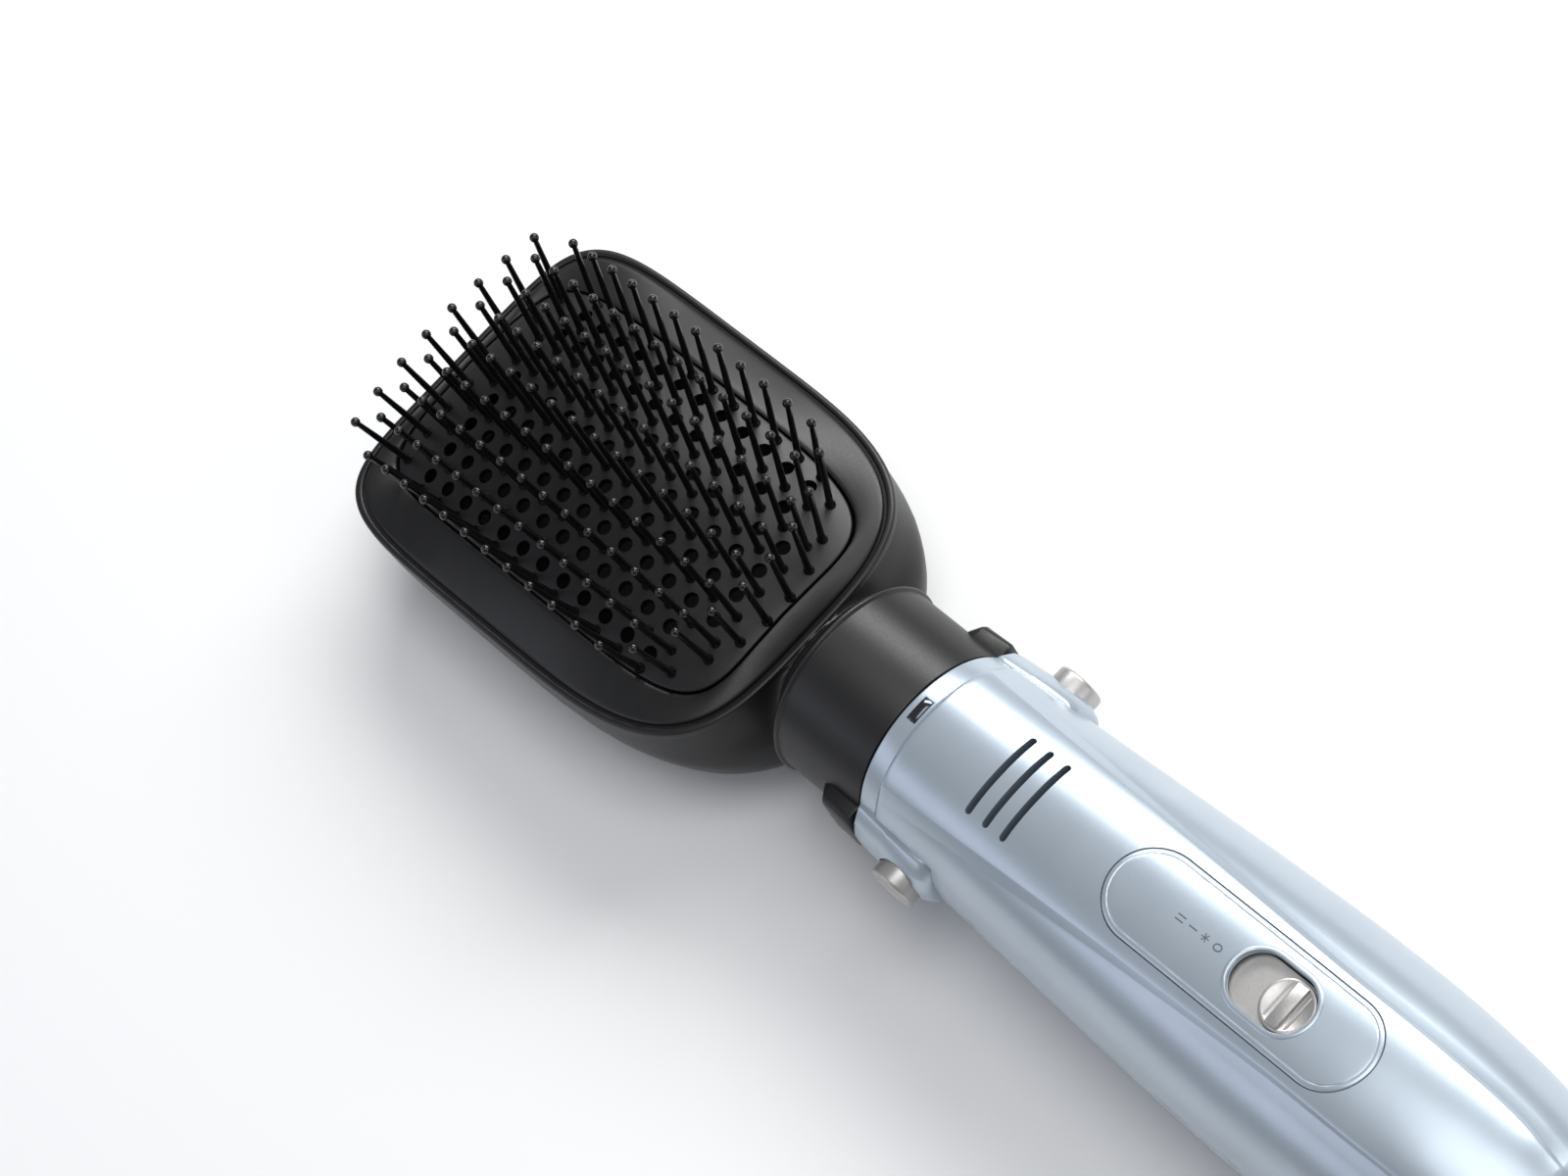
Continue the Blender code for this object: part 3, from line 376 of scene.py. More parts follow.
INNER = {
    "heater_sleeve": blued_steel, "mica_frame": mica_board, "heater_coil": nichrome,
    "thermostat": zinc_steel, "fan_duct": white_nylon, "motor": zinc_steel,
    "motor_mount": soft_rubber, "motor_shaft": zinc_steel, "impeller": white_nylon,
    "slide_switch": white_nylon, "control_board": solder_mask, "intake_filter": filter_foam,
    "air_guide": black_polyamide, "tail_screw": zinc_steel, "head_screw_1": zinc_steel,
    "head_screw_2": zinc_steel, "head_screw_3": zinc_steel, "head_screw_4": zinc_steel,
}
for node, coat in INNER.items():
    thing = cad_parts[node]
    thing.data.materials.clear()
    thing.data.materials.append(coat)
print("refinished", len(INNER), "packed pieces")

# %% [markdown]
# ## The paddle's curves
# Seen from above, the pad and the frame round it are *superellipses*: rounder than a
# rectangle, squarer than an ellipse, and squarer at the far end than at the neck. Seen from
# the side the face is crowned, which fans the bristles out.

# %% Outlines and the crowned face
def superellipse(near, far, half_width, powers, count=128):
    points = []
    for k in range(count):
        a = 2 * math.pi * k / count
        c, s = math.cos(a), math.sin(a)
        reach, power = (near, powers[0]) if c > 0 else (far, powers[1])
        points.append((PAD_X + reach * math.copysign(abs(c) ** (2 / power), c),
                       half_width * math.copysign(abs(s) ** (2 / power), s)))
    return points


def face_z(x, y):
    u = x - PAD_X
    return 12.3 + FACE_TILT * u - u * u / 396 - y * y / 176


def rim_z(x):
    return RIM_Z + FACE_TILT * (x - PAD_X)


def pad_outline(inset):
    return superellipse(PAD_NEAR - inset, PAD_FAR - inset, PAD_HALF_WIDTH - inset, PAD_POWERS)


def rim_outline(inset):
    return superellipse(RIM_NEAR - inset, RIM_FAR - inset, RIM_HALF_WIDTH - inset, RIM_POWERS)


print("pad", 2 * PAD_HALF_WIDTH, "by", PAD_NEAR + PAD_FAR, "mm")

# %% [markdown]
# ## The perforated pad
# On the real brush the pad is one moulding, drilled with a grid of round vents that the hot air
# blows through. It could be modelled with the holes in its topology, but a crowned disc with a
# Boolean is quicker to change. The disc is made of rings that shrink towards the middle, and
# after the cut the corners on the crown get the uncut disc's normals back.

# %% Where the vents and the bristles stand
def vent_places():
    places = []
    for row in range(ROWS - 1):
        for column in range(8):
            if row == ROWS - 2 and column in (0, 1, 6, 7):
                continue
            places.append((PAD_X + (row + 0.5 - (ROWS - 1) / 2) * ROW_PITCH, (column - 3.5) * COLUMN_PITCH))
    return places


def bristle_places():
    """The CAD node and the plan points of each strip of bristles."""
    strips = {}
    for row in range(ROWS):
        last = 2 if row == ROWS - 1 else 3
        x = PAD_X + (row - (ROWS - 1) / 2) * ROW_PITCH
        strips[f"bristle_row_{row + 1:02d}"] = [(x, c * COLUMN_PITCH) for c in range(-last, last + 1)]
    for name, side in (("bristle_side_left", -1), ("bristle_side_right", 1)):
        strips[name] = [(PAD_X + (k - 6) * ROW_PITCH, side * 4 * COLUMN_PITCH) for k in range(ROWS - 2)]
    halves = [k - 3.5 for k in range(8)]
    near = (41.5, 46.6, 49.8, 51.2, 51.2, 49.8, 46.6, 41.5)
    strips["bristle_end_far"] = [(PAD_X - 51.3, h * COLUMN_PITCH) for h in halves]
    strips["bristle_end_near"] = [(PAD_X + u, h * COLUMN_PITCH) for u, h in zip(near, halves)]
    return strips


print(len(vent_places()), "vents,", sum(map(len, bristle_places().values())), "bristles")

# %% The pad
def crowned_plate(outline_of, height, thick, edge, steps=22, reach=30.0):
    """A thin plate that follows `height`, with a rounded edge. Rings shrink from the outline."""
    rings = [[(x, y, height(x, y) - thick) for x, y in outline_of(0.15)]]
    for k in range(4):
        a = math.radians(90 * k / 4)
        outline = outline_of(edge * (1 - math.cos(a)))
        rings.append([(x, y, height(x, y) - edge * (1 - math.sin(a))) for x, y in outline])
    rim = outline_of(edge)
    middle = sum(x for x, _ in rim) / len(rim)
    for k in range(steps):
        share = 1 - k / steps
        ring = [(middle + (x - middle) * share, y * share) for x, y in rim]
        rings.append([(x, y, height(x, y)) for x, y in ring])
    points, faces = skin(rings, caps=False)
    count = len(rim)
    points.append((middle, 0, height(middle, 0)))
    start = (len(rings) - 1) * count
    faces += [(start + i, start + (i + 1) % count, len(points) - 1) for i in range(count)]
    under = [(x, y, height(x, y) - thick) for x, y in
             ((middle + (x - middle) * s, y * s) for s in (0.8, 0.5, 0.2) for x, y in outline_of(0.15))]
    base = len(points)
    points += under
    for ring in range(2):
        for i in range(count):
            j = (i + 1) % count
            faces.append((base + ring * count + i, base + ring * count + j,
                          base + (ring + 1) * count + j, base + (ring + 1) * count + i))
    faces += [(i, (i + 1) % count, base + (i + 1) % count, base + i) for i in range(count)]
    faces.append(tuple(base + 2 * count + i for i in range(count)))
    return points, faces


pad = piece("pad", crowned_plate(lambda inset: pad_outline(0.3 + inset), face_z, 1.6, 0.35),
            pad_polyamide, "brush_head", "bristle_plate")
whole = surface_of(pad)
carve(pad, together(*(rod((x, y, -12), (x, y, 20), 1.75, 28) for x, y in vent_places())), solver="MANIFOLD")
keep_shading(pad, whole)
print("pad", len(pad.data.polygons), "faces")

# %% [markdown]
# ## The bristles
# Each bristle is a tapered pin with a ball at its tip, on a low round foot. They are moulded in
# strips that clip in from behind, and one strip is one piece. The pins stand square to the
# crowned face and a little outwards, so their axes come from the place where they stand.

# %% Bristles, one piece to a strip
BRISTLE_LENGTH, BALL_R = 21.4, 1.12


def bristle(x, y, sides=14):
    root = Vector((x, y, face_z(x, y)))
    lean = Vector(((x - PAD_X) / 375 - FACE_TILT, y / 133, 1)).normalized()
    across = lean.orthogonal().normalized()
    other = lean.cross(across)
    centre = BRISTLE_LENGTH - BALL_R
    profile = [(1.3, -1.2), (1.3, 0.1), (1.2, 0.42), (0.98, 0.75), (0.85, 1.5),
               (0.78, 8.0), (0.64, centre - BALL_R - 0.6), (0.6, centre - BALL_R * 0.9)]
    for k in range(1, 8):
        a = math.radians(-62 + 150 * k / 7)
        profile.append((BALL_R * math.cos(a), centre + BALL_R * math.sin(a)))
    rings = [[root + lean * h + (across * math.cos(a) + other * math.sin(a)) * r
              for a in (2 * math.pi * k / sides for k in range(sides))] for r, h in profile]
    return skin(rings)


for node, places in bristle_places().items():
    piece(node.replace("bristle", "bristles"), together(*(bristle(x, y) for x, y in places)),
          polished_nylon, "brush_head", node)
print("bristle pieces", len(bristle_places()))

# %% [markdown]
# ## The frame round the pad
# A separate band clips over the edge of the pad and covers its seam. Its top slopes down to the
# outside, and a fine groove shows on either side of it. It is a closed section carried round
# the outline, so it is a looped skin.

# %% Face frame
def band_ring(share, lift, inset_in=0.15, inset_out=0.15):
    inner, outer = pad_outline(-inset_in), rim_outline(inset_out)
    ring = []
    for (x0, y0), (x1, y1) in zip(inner, outer):
        z0, z1 = face_z(x0, y0), rim_z(x1) + 0.6
        ring.append((x0 + (x1 - x0) * share, y0 + (y1 - y0) * share, z0 + (z1 - z0) * share + lift))
    return ring


band = [band_ring(0.0, -2.2), band_ring(0.0, -0.45), band_ring(0.012, -0.12), band_ring(0.05, 0.12)]
band += [band_ring(s, 0.15 + 0.25 * math.sin(math.pi * s)) for s in (0.12, 0.25, 0.4, 0.55, 0.7, 0.82, 0.91)]
band += [band_ring(0.96, 0.12), band_ring(0.99, -0.12), band_ring(1.0, -0.5), band_ring(1.0, -2.6)]
face_band = piece("face_band", skin(band, loop=True), black_polyamide, "brush_head", "face_frame")
print("face band", len(face_band.data.polygons), "faces")

# %% [markdown]
# ## The head shell
# The shell is a deep bowl, with a hood that rises behind the frame to the height of the neck.
# On the moulding the two flow into each other. Two lofts joined by a Boolean would meet in a
# crease, so the union is remeshed into even cells and smoothed, which melts the crease into a
# fillet. The cavity, the socket and the top edge are cut after that, so they stay crisp.

# %% Bowl and hood in one skin
SHELL_RINGS = (
    (1.5, 1.5, 1.5, 3.6, 6.0, RIM_Z, FACE_TILT),
    (5.0, 2.0, 2.0, 3.3, 6.0, -4.0, 0.03),
    (10.0, 2.0, 1.8, 3.1, 5.5, -9.0, 0.01),
    (11.5, 0.0, -0.2, 3.0, 5.0, -14.0, 0.0),
    (10.0, -5.0, -5.0, 3.0, 4.0, -19.5, 0.0),
    (3.0, -13.0, -12.0, 2.8, 3.2, BACK_Z, 0.0),
)


def shell_ring(inset, near, far, half, near_power, far_power, z, tilt):
    outline = superellipse(RIM_NEAR + near - inset, RIM_FAR + far - inset, RIM_HALF_WIDTH + half - inset,
                           (near_power, far_power), 96)
    return [(x, y, z + tilt * (x - PAD_X)) for x, y in outline]


outer = [shell_ring(0, *ring) for ring in SHELL_RINGS]
brim = [[(x, y, z + rise) for x, y, z in outer[0]] for rise in (6.0, 3.0)]
FRAME_END = PAD_X + RIM_NEAR + 0.3
SEAM_X = -NECK_LENGTH - 0.3
HOOD_WALL = 2.2
hood_x = (FRAME_END - 12, FRAME_END - 4, FRAME_END + 1.6, FRAME_END + 4.4, FRAME_END + 7.2, FRAME_END + 10.0,
          SEAM_X - 0.6, SEAM_X, SEAM_X + 6)
hood_top = (-6.0, 0.0, 4.6, 8.3, 12.6, 17.6, 22.7, 23.2, 23.2)
hood_bottom = (-23.0, -23.0, -22.9, -22.9, -22.9, -23.0, -23.1, -23.2, -23.2)


def hood_rings(inset, start, end):
    """Rings of the hood's outside, or of its inside when `inset` is the wall."""
    rings = []
    for k in range(48):
        x = start + (end - start) * k / 47
        top, bottom = (float(smooth_through(hood_x, row, x)) for row in (hood_top, hood_bottom))
        r, middle = (top - bottom) / 2 - inset, (top + bottom) / 2
        rings.append([(x, r * math.cos(a), middle + r * math.sin(a))
                      for a in (2 * math.pi * j / 72 for j in range(72))])
    return rings


head = piece("head_bowl", skin(brim + outer), black_polyamide, "brush_head", "head_shell")
carve(head, skin(hood_rings(0.0, hood_x[0], hood_x[-1])), "UNION")
remesh = head.modifiers.new("even cells", "REMESH")
remesh.mode, remesh.voxel_size, remesh.use_smooth_shade = "VOXEL", 1.1 * MM, True
melt = head.modifiers.new("melt the crease", "SMOOTH")
melt.factor, melt.iterations = 0.5, 16
settle(head)
head_skin = surface_of(head)
print("bowl and hood", len(head.data.polygons), "faces")


# %% Cut the top edge, the cavity and the socket
top_cut = [[(x, y, z + rise) for x, y, z in
            ((x, y, rim_z(x)) for x, y in rim_outline(-2.6))] for rise in (0.0, 12.0)]
carve(head, skin(top_cut))
inner = [shell_ring(3.1, *SHELL_RINGS[0])] + [shell_ring(2.4, *ring) for ring in SHELL_RINGS[1:-1]]
lid = [(x, y, z + 8) for x, y, z in inner[0]]
floor_ring = [(x, y, BACK_Z + 2.4) for x, y, _ in shell_ring(3.5, *SHELL_RINGS[-1])]
carve(head, skin([lid, *inner, floor_ring]))
carve(head, box_shape((SEAM_X, -40, -40), (10, 40, 40)))
carve(head, skin(hood_rings(HOOD_WALL, FRAME_END - 8, SEAM_X + 1)))
carve(head, slab(superellipse(34, 30, 15, (4, 4)), BACK_Z - 5, BACK_Z + 5))
keep_shading(head, head_skin)
print("head shell", len(head.data.polygons), "faces")

# %% [markdown]
# The shell's top edge is a raised lip, about a millimetre and a half wide, with a shadow groove
# between it and the frame. It catches a thin line of light on each of its edges. A small
# section carried round the outline draws it better than a bevel on the remeshed bowl.

# %% The lip round the frame
lip_section = ((-0.35, -1.6), (-0.35, 0.15), (-0.5, 0.42), (-0.75, 0.55), (-1.35, 0.55),
               (-1.7, 0.4), (-1.9, 0.1), (-2.0, -0.4), (-2.0, -1.6))
lip = [[(x, y, rim_z(x) + dz) for x, y in rim_outline(inset)] for inset, dz in lip_section]
piece("head_lip", skin(lip, loop=True), black_polyamide, "brush_head")

# %% [markdown]
# The back cover is a shallow dish screwed on from below, in the handle's pearl finish. The four
# screws are pan heads with a cross recess, and a recess is what makes a screw read as one.

# %% Back cover and screws
def cross_screw(name, node, place, direction, metal, body):
    """A pan-head screw: `place` is its seat, `direction` points out of the head."""
    place, direction = Vector(place), Vector(direction)
    across = direction.orthogonal().normalized()
    other = direction.cross(across)
    profile = [(1.2, -5.0), (1.2, -0.05), (2.7, -0.05), (2.7, 0.5), (2.45, 0.9), (1.8, 1.15), (0.9, 1.25)]
    rings = [[place + direction * h + (across * math.cos(a) + other * math.sin(a)) * r
              for a in (2 * math.pi * k / 32 for k in range(32))] for r, h in profile]
    screw = piece(name, skin(rings), metal, body, node)
    arms = []
    for one, two in ((across, other), (other, across)):
        corners = [one * a + two * b for a, b in ((-1.5, -0.28), (1.5, -0.28), (1.5, 0.28), (-1.5, 0.28))]
        arms.append(skin([[place + direction * h + c for c in corners] for h in (0.5, 2.0)]))
    for arm in arms:
        carve(screw, arm)
    return screw


def screw_places():
    return [(PAD_X + sx * 38.0, sy * 22.0) for sx in (-1, 1) for sy in (-1, 1)]


cover_top = BACK_Z - 0.3
cover = []
for inset, z in ((0.2, cover_top), (0.0, cover_top - 0.2), (0.0, cover_top - 1.0), (0.5, cover_top - 1.5),
                 (2.5, cover_top - 2.1), (6.5, cover_top - 2.6),
                 (12.0, cover_top - 2.9), (17.0, cover_top - 3.0)):
    cover.append([(x, y, z) for x, y in superellipse(
        RIM_NEAR + 1 - inset, RIM_FAR - 14.5 - inset, RIM_HALF_WIDTH - 13.5 - inset, (2.8, 3.2))])
back = piece("back_cover", skin(cover), pearl_lacquer, "brush_head", "head_back_cover")
for x, y in screw_places():
    carve(back, rod((x, y, cover_top - 5), (x, y, cover_top - 1.1), 3.0, 48))
for n, (x, y) in enumerate(screw_places(), 1):
    cross_screw(f"cover_screw_{n}", f"head_screw_{n}", (x, y, cover_top - 1.15), (0, 0, -1),
                zinc_steel, "brush_head")
print("back cover", len(back.data.polygons), "faces")

# %% [markdown]
# ## The neck
# The neck is a straight black tube. A thin bead stands up where it enters the head, and on
# each side a chamfered lug lines up with a release button. Most of it is turned, so it is a
# lathe profile with rounded corners, and the lugs are skins joined to it.

# %% Neck tube, bead and lugs
plug_x, bead_x = -NECK_LENGTH - HEAD_PLUG_LENGTH, -NECK_LENGTH + 0.7
neck_profile = [
    (SPIGOT_LENGTH - 0.5, BORE_R), (SPIGOT_LENGTH, BORE_R + 0.5),
    (SPIGOT_LENGTH, SPIGOT_R - 0.4), (SPIGOT_LENGTH - 0.4, SPIGOT_R), (-0.35, SPIGOT_R),
    (-0.35, NECK_R - 0.35), (-0.45, NECK_R - 0.1), (-0.7, NECK_R), (bead_x + 1.1, NECK_R),
    (bead_x + 0.75, NECK_R + 0.1), *corner((bead_x, NECK_R + 0.1), 0.65, 20, 160, 6),
    (bead_x - 0.7, NECK_R - 0.2), (bead_x - 0.7, BORE_R),
]
neck = piece("neck", lathe(neck_profile, 128), black_polyamide, "brush_head", "neck_tube")

# The plug reaches into the hood, and the hood's slope cuts it off.
plug_profile = [(plug_x, BORE_R), (bead_x - 0.75, BORE_R),
                (bead_x - 0.75, HEAD_PLUG_R), (plug_x, HEAD_PLUG_R)]
plug = piece("neck_plug", lathe(plug_profile, 128), black_polyamide, "brush_head")
carve(plug, skin(hood_rings(HOOD_WALL + 0.3, plug_x - 2, SEAM_X + 1)), "INTERSECT")


def lug(side):
    """A lug with chamfered edges: a rectangle of (y, z) that grows and shrinks along the neck."""
    rings = []
    for x, out, half in ((-11.6, 22.2, 5.4), (-10.6, 23.2, 6.4), (-8.8, 25.4, 7.0), (-8.2, 25.8, 7.1),
                         (-1.0, 26.1, 7.1), (-0.5, 25.9, 7.0), (-0.35, 25.5, 6.8)):
        ring = [(21.0, -half), (out - 1.3, -half), (out - 0.5, -half + 0.35),
                (out, -half + 1.3), (out + 0.1, 0.0),
                (out, half - 1.3), (out - 0.5, half - 0.35), (out - 1.3, half), (21.0, half)]
        rings.append([(x, side * y, z) for y, z in ring])
    return skin(rings)


for side in (-1, 1):
    carve(neck, lug(side), "UNION")
print("neck", len(neck.data.polygons), "faces")

# %% [markdown]
# ## The handle's surface
# The two shells share one outer surface, so it is written once, as a function of the place
# along the handle and the angle round it. It has a raised top strip with a bevelled edge on
# each side, and a soft crease lower down. The columns of the mesh run along those lines, with
# a narrow pair at each, so the highlights break there and stay smooth between them.

# %% The surface function
STATIONS = (
    (5.3, 23.3, 23.3, 23.3), (25.0, 24.2, 23.9, 24.4), (50.0, 25.6, 24.8, 26.0), (80.0, 27.2, 25.7, 28.0),
    (110.0, 28.2, 26.2, 29.4), (135.0, 27.8, 25.8, 29.2), (155.0, 26.0, 24.2, 27.2),
    (168.0, 23.6, 22.0, 24.6),
    (175.0, 21.4, 20.0, 22.0), (HANDLE_END, 18.6, 17.4, 19.0),
)
POWER = 2.2
STRIP_X = (5.3, 44.0, 79.0, 113.0, 142.0, 160.0, HANDLE_END)
STRIP_EDGE = (18.9, 16.8, 15.1, 13.7, 13.2, 12.4, 9.0)
BAND_WIDTH = (2.7, 2.2, 1.7, 1.2, 0.8, 0.8, 0.8)
CREASE_SHARE = (0.80, 0.78, 0.79, 0.87, 0.93, 0.95, 0.96)
STRIP_RISE, CREASE_RISE, WALL = 0.6, 0.03, 2.9


def station(x):
    """(half width, top, bottom) of the handle at x."""
    xs = [s[0] for s in STATIONS]
    return [float(smooth_through(xs, [s[k] for s in STATIONS], x)) for k in (1, 2, 3)]


def lines_at(x):
    """(outer edge of the bevel, its width, y of the crease) at x."""
    half = station(x)[0]
    edge, width, share = (float(smooth_through(STRIP_X, row, x))
                          for row in (STRIP_EDGE, BAND_WIDTH, CREASE_SHARE))
    return min(edge, half * 0.9), width, half * share


def angle_at(x, y):
    """Angle from the crown of the section at x where it is y wide."""
    return math.asin(min(1.0, (abs(y) / station(x)[0]) ** (POWER / 2)))


def rise_at(x, y):
    """How far the surface stands out of the plain section."""
    edge, width, crease = lines_at(x)
    fade = min(1.0, max(0.0, (HANDLE_END - 2 - x) / 12))
    up = STRIP_RISE * min(1.0, max(0.0, (edge - abs(y)) / width)) * fade
    ridge = math.exp(-((abs(y) - crease) / 1.6) ** 2) * CREASE_RISE
    return up + ridge * min(1.0, max(0.0, (x - 14) / 20)) * min(1.0, max(0.0, (130 - x) / 40))


def section_point(x, angle, inset=0.0, plain=False):
    """A point of the section: the angle goes from 0 at the crown to pi at the belly."""
    half, top, bottom = station(x)
    s, c = math.sin(angle), math.cos(angle)
    height = top if c > 0 else bottom
    y = (half - inset) * abs(s) ** (2 / POWER)
    z = math.copysign((height - inset) * abs(c) ** (2 / POWER), c)
    if plain or c < 0:
        return y, z
    out = rise_at(x, y)
    return y + out * s, z + out * c


def top_z(x, y):
    """Height of the handle's outside over a plan point."""
    half, top, _ = station(x)
    crown = top * max(0.0, 1 - (abs(y) / half) ** POWER) ** (1 / POWER)
    return crown + rise_at(x, y) * math.cos(angle_at(x, y))


def spread(low, high, count):
    return [low + (high - low) * k / count for k in range(count)]


def upper_angles(x):
    edge, width, crease = lines_at(x)
    soft = 0.16
    marks = [angle_at(x, y) for y in (edge - width - soft, edge - width + soft, edge - soft, edge + soft)]
    bend = angle_at(x, crease)
    near, far = bend - 0.07, min(bend + 0.07, 1.52)
    angles = spread(0.0, marks[0], 9) + marks[:3]
    angles += spread(marks[3], max(near, marks[3] + 0.02), 6) + spread(max(near, marks[3] + 0.02), far, 8)
    return angles + spread(far, math.pi / 2, 6) + [math.pi / 2]


print("sections from", STATIONS[0][0], "to", HANDLE_END, "mm")


# %% [markdown]
# Each half shell is one closed skin: every ring runs over the outside and back along the
# inside, and the tail's rings close in on the round opening for the grille. Slots, the panel's
# pocket and the switch well are cut into the solid, as a milling cutter would.

# %% Upper and lower shells
def half_shell(upper):
    xs = sorted({5.3, 5.5, 5.9, *np.arange(7.0, 171.0, 2.4).round(2), 171.4, 171.6, 173.0, 174.5,
                 175.6, 176.6, 177.3, 177.75, HANDLE_END})
    rings = []
    for x in xs:
        soft = {5.3: 0.35, 5.5: 0.12}.get(x, 0.0)
        if upper:
            angles = upper_angles(x)
        else:
            angles = [math.pi - a for a in spread(0.0, math.pi / 2, 30)] + [math.pi / 2]
        gap = 0.15 if upper else -0.15
        outside = []
        for a in angles:
            y, z = section_point(x, a)
            y, z = y - soft * math.sin(a), z - soft * math.cos(a)
            outside.append((x, y, max(z, gap) if upper else min(z, gap)))
        ring = [(px, -y, z) for px, y, z in reversed(outside)] + outside[1:]
        inside = []
        for a in reversed(spread(0.0, math.pi / 2, 16) + [math.pi / 2]):
            angle = a if upper else math.pi - a
            if x < 171.5:
                y, z = section_point(x, angle, WALL, plain=True)
            else:
                y, z = 15.9 * math.sin(angle), 15.9 * math.cos(angle)
            inside.append((x, y, max(z, gap) if upper else min(z, gap)))
        ring += inside + [(px, -y, z) for px, y, z in reversed(inside[:-1])]
        rings.append(ring)
    return skin(rings)


upper = piece("handle_top", half_shell(True), pearl_lacquer, "handle", "upper_shell")
lower = piece("handle_bottom", half_shell(False), pearl_lacquer, "handle", "lower_shell")
upper_skin, lower_skin = surface_of(upper), surface_of(lower)
print("half shells", len(upper.data.polygons), len(lower.data.polygons), "faces")


# %% Cut the seats, the vents, the pocket and the well
def flank_block(side, grow, half):
    outline = [(-2 - grow, side * 19.0), (-2 - grow, side * (FLANK_OUT + 3)),
               (FLANK_END + grow, side * (FLANK_OUT + 3)), (FLANK_END + grow, side * 19.0)]
    return slab(outline, -half - grow, half + grow)


for side in (-1, 1):
    for shell in (upper, lower):
        carve(shell, flank_block(side, 0.3, 9.5))
slots = [slab([(27.0 + 5.1 * k + y, x) for x, y in stadium(0, 19.6 + 1.6, 1.7)], 12, 34) for k in range(3)]
for cut in slots:
    carve(upper, cut)
pocket_floor = []
for x in np.arange(58.0, 136.0, 3.0):
    reach = np.linspace(-12.5, 12.5, 21)
    pocket_floor.append([(x, y, top_z(x, y) - 1.8) for y in reach] + [(x, 12.5, 45.0), (x, -12.5, 45.0)])
pocket = piece("pocket_tool", slab(stadium(PANEL_X, PANEL_LENGTH + 0.4, PANEL_WIDTH + 0.4, 32), 8, 40),
               pearl_lacquer, "handle")
carve(pocket, skin(pocket_floor), "INTERSECT")
cut = upper.modifiers.new("pocket", "BOOLEAN")
cut.operation, cut.solver, cut.object = "DIFFERENCE", "EXACT", pocket
settle(upper)
bpy.data.objects.remove(pocket, do_unlink=True)
carve(upper, slab(stadium(WELL_X, WELL_LENGTH + 15.6, WELL_WIDTH - 0.4, 24), 8, 40))
carve(lower, rod((160.5, 0, -60), (160.5, 0, -station(160.5)[2] + 1.3), 3.0, 40))
for shell, surface in ((upper, upper_skin), (lower, lower_skin)):
    shell.data.set_sharp_from_angle(angle=SHARP)
    keep_shading(shell, surface)
print("cut shells", len(upper.data.polygons), len(lower.data.polygons), "faces")

# %% [markdown]
# ## Collar, flanks and release buttons
# The collar is the handle's front ring. On each side it carries a flank: a flat-topped boss
# that holds a release button. The flank is a skin of rounded rectangles, wide at the front and
# tapering out at the back, and the seat for the button is bored into it.

# %% Collar with its flanks
collar_profile = [(0.0, SPIGOT_R + 0.9), *corner((0.5, COLLAR_R - 0.5), 0.5, 180, 90),
                  (COLLAR_WIDTH - 0.35, COLLAR_R),
                  (COLLAR_WIDTH, COLLAR_R - 0.35), (COLLAR_WIDTH, SPIGOT_R + 0.4), (0.5, SPIGOT_R + 0.4)]
collar = piece("collar", lathe(collar_profile, 128), pearl_lacquer, "handle", "front_collar")


def flank(side):
    rings = []
    for x, out, half in ((0.05, 25.3, 8.6), (0.25, 25.8, 9.1), (0.7, 26.2, 9.4), (4.0, 26.5, 9.5),
                         (9.0, 26.9, 9.5),
                         (9.8, 27.2, 9.5), (15.0, 27.35, 9.5), (19.5, 27.3, 9.3), (21.5, 26.6, 8.7),
                         (22.6, 25.9, 7.9), (FLANK_END, 25.2, 7.0)):
        ring = [(20.8, -half), (out - 4.6, -half), (out - 3.9, -half * 0.97), (out - 1.6, -half * 0.66),
                (out - 1.2, -half * 0.6), (out - 0.15, -half * 0.27), (out, -half * 0.2)]
        ring += [(y, -z) for y, z in reversed(ring)]
        rings.append([(x, side * y, z) for y, z in ring])
    return skin(rings)


for side in (-1, 1):
    carve(collar, flank(side), "UNION", solver="MANIFOLD")
carve(collar, rod((-4, 0, 0), (FLANK_END + 4, 0, 0), SPIGOT_R + 0.4, 128), solver="MANIFOLD")
for side in (-1, 1):
    seat = rod((BUTTON_X, side * 15, 0), (BUTTON_X, side * 40, 0), BUTTON_R + 0.35, 64)
    carve(collar, seat, solver="MANIFOLD")
carve(collar, box_shape((1.6, -3.1, COLLAR_R - 1.0), (4.1, 3.1, COLLAR_R + 2)), solver="MANIFOLD")
print("collar", len(collar.data.polygons), "faces")

# %% Chrome index mark, on the collar's crown
mark = []
for x, drop in ((1.75, 0.3), (1.85, 0.08), (2.0, 0.0), (3.75, 0.0), (3.9, 0.08), (4.0, 0.3)):
    ring = []
    for k in range(9):
        a = math.radians(-7.0 + 14.0 * k / 8)
        low = drop + (0.25 if k in (0, 8) else 0.0)
        ring.append((x, (COLLAR_R + 0.25 - low) * math.sin(a), (COLLAR_R + 0.25 - low) * math.cos(a)))
    mark.append(ring + [(x, 2.8, COLLAR_R - 0.7), (x, -2.8, COLLAR_R - 0.7)])
piece("chrome_mark", skin(mark), dark_chrome, "handle", "index_mark")


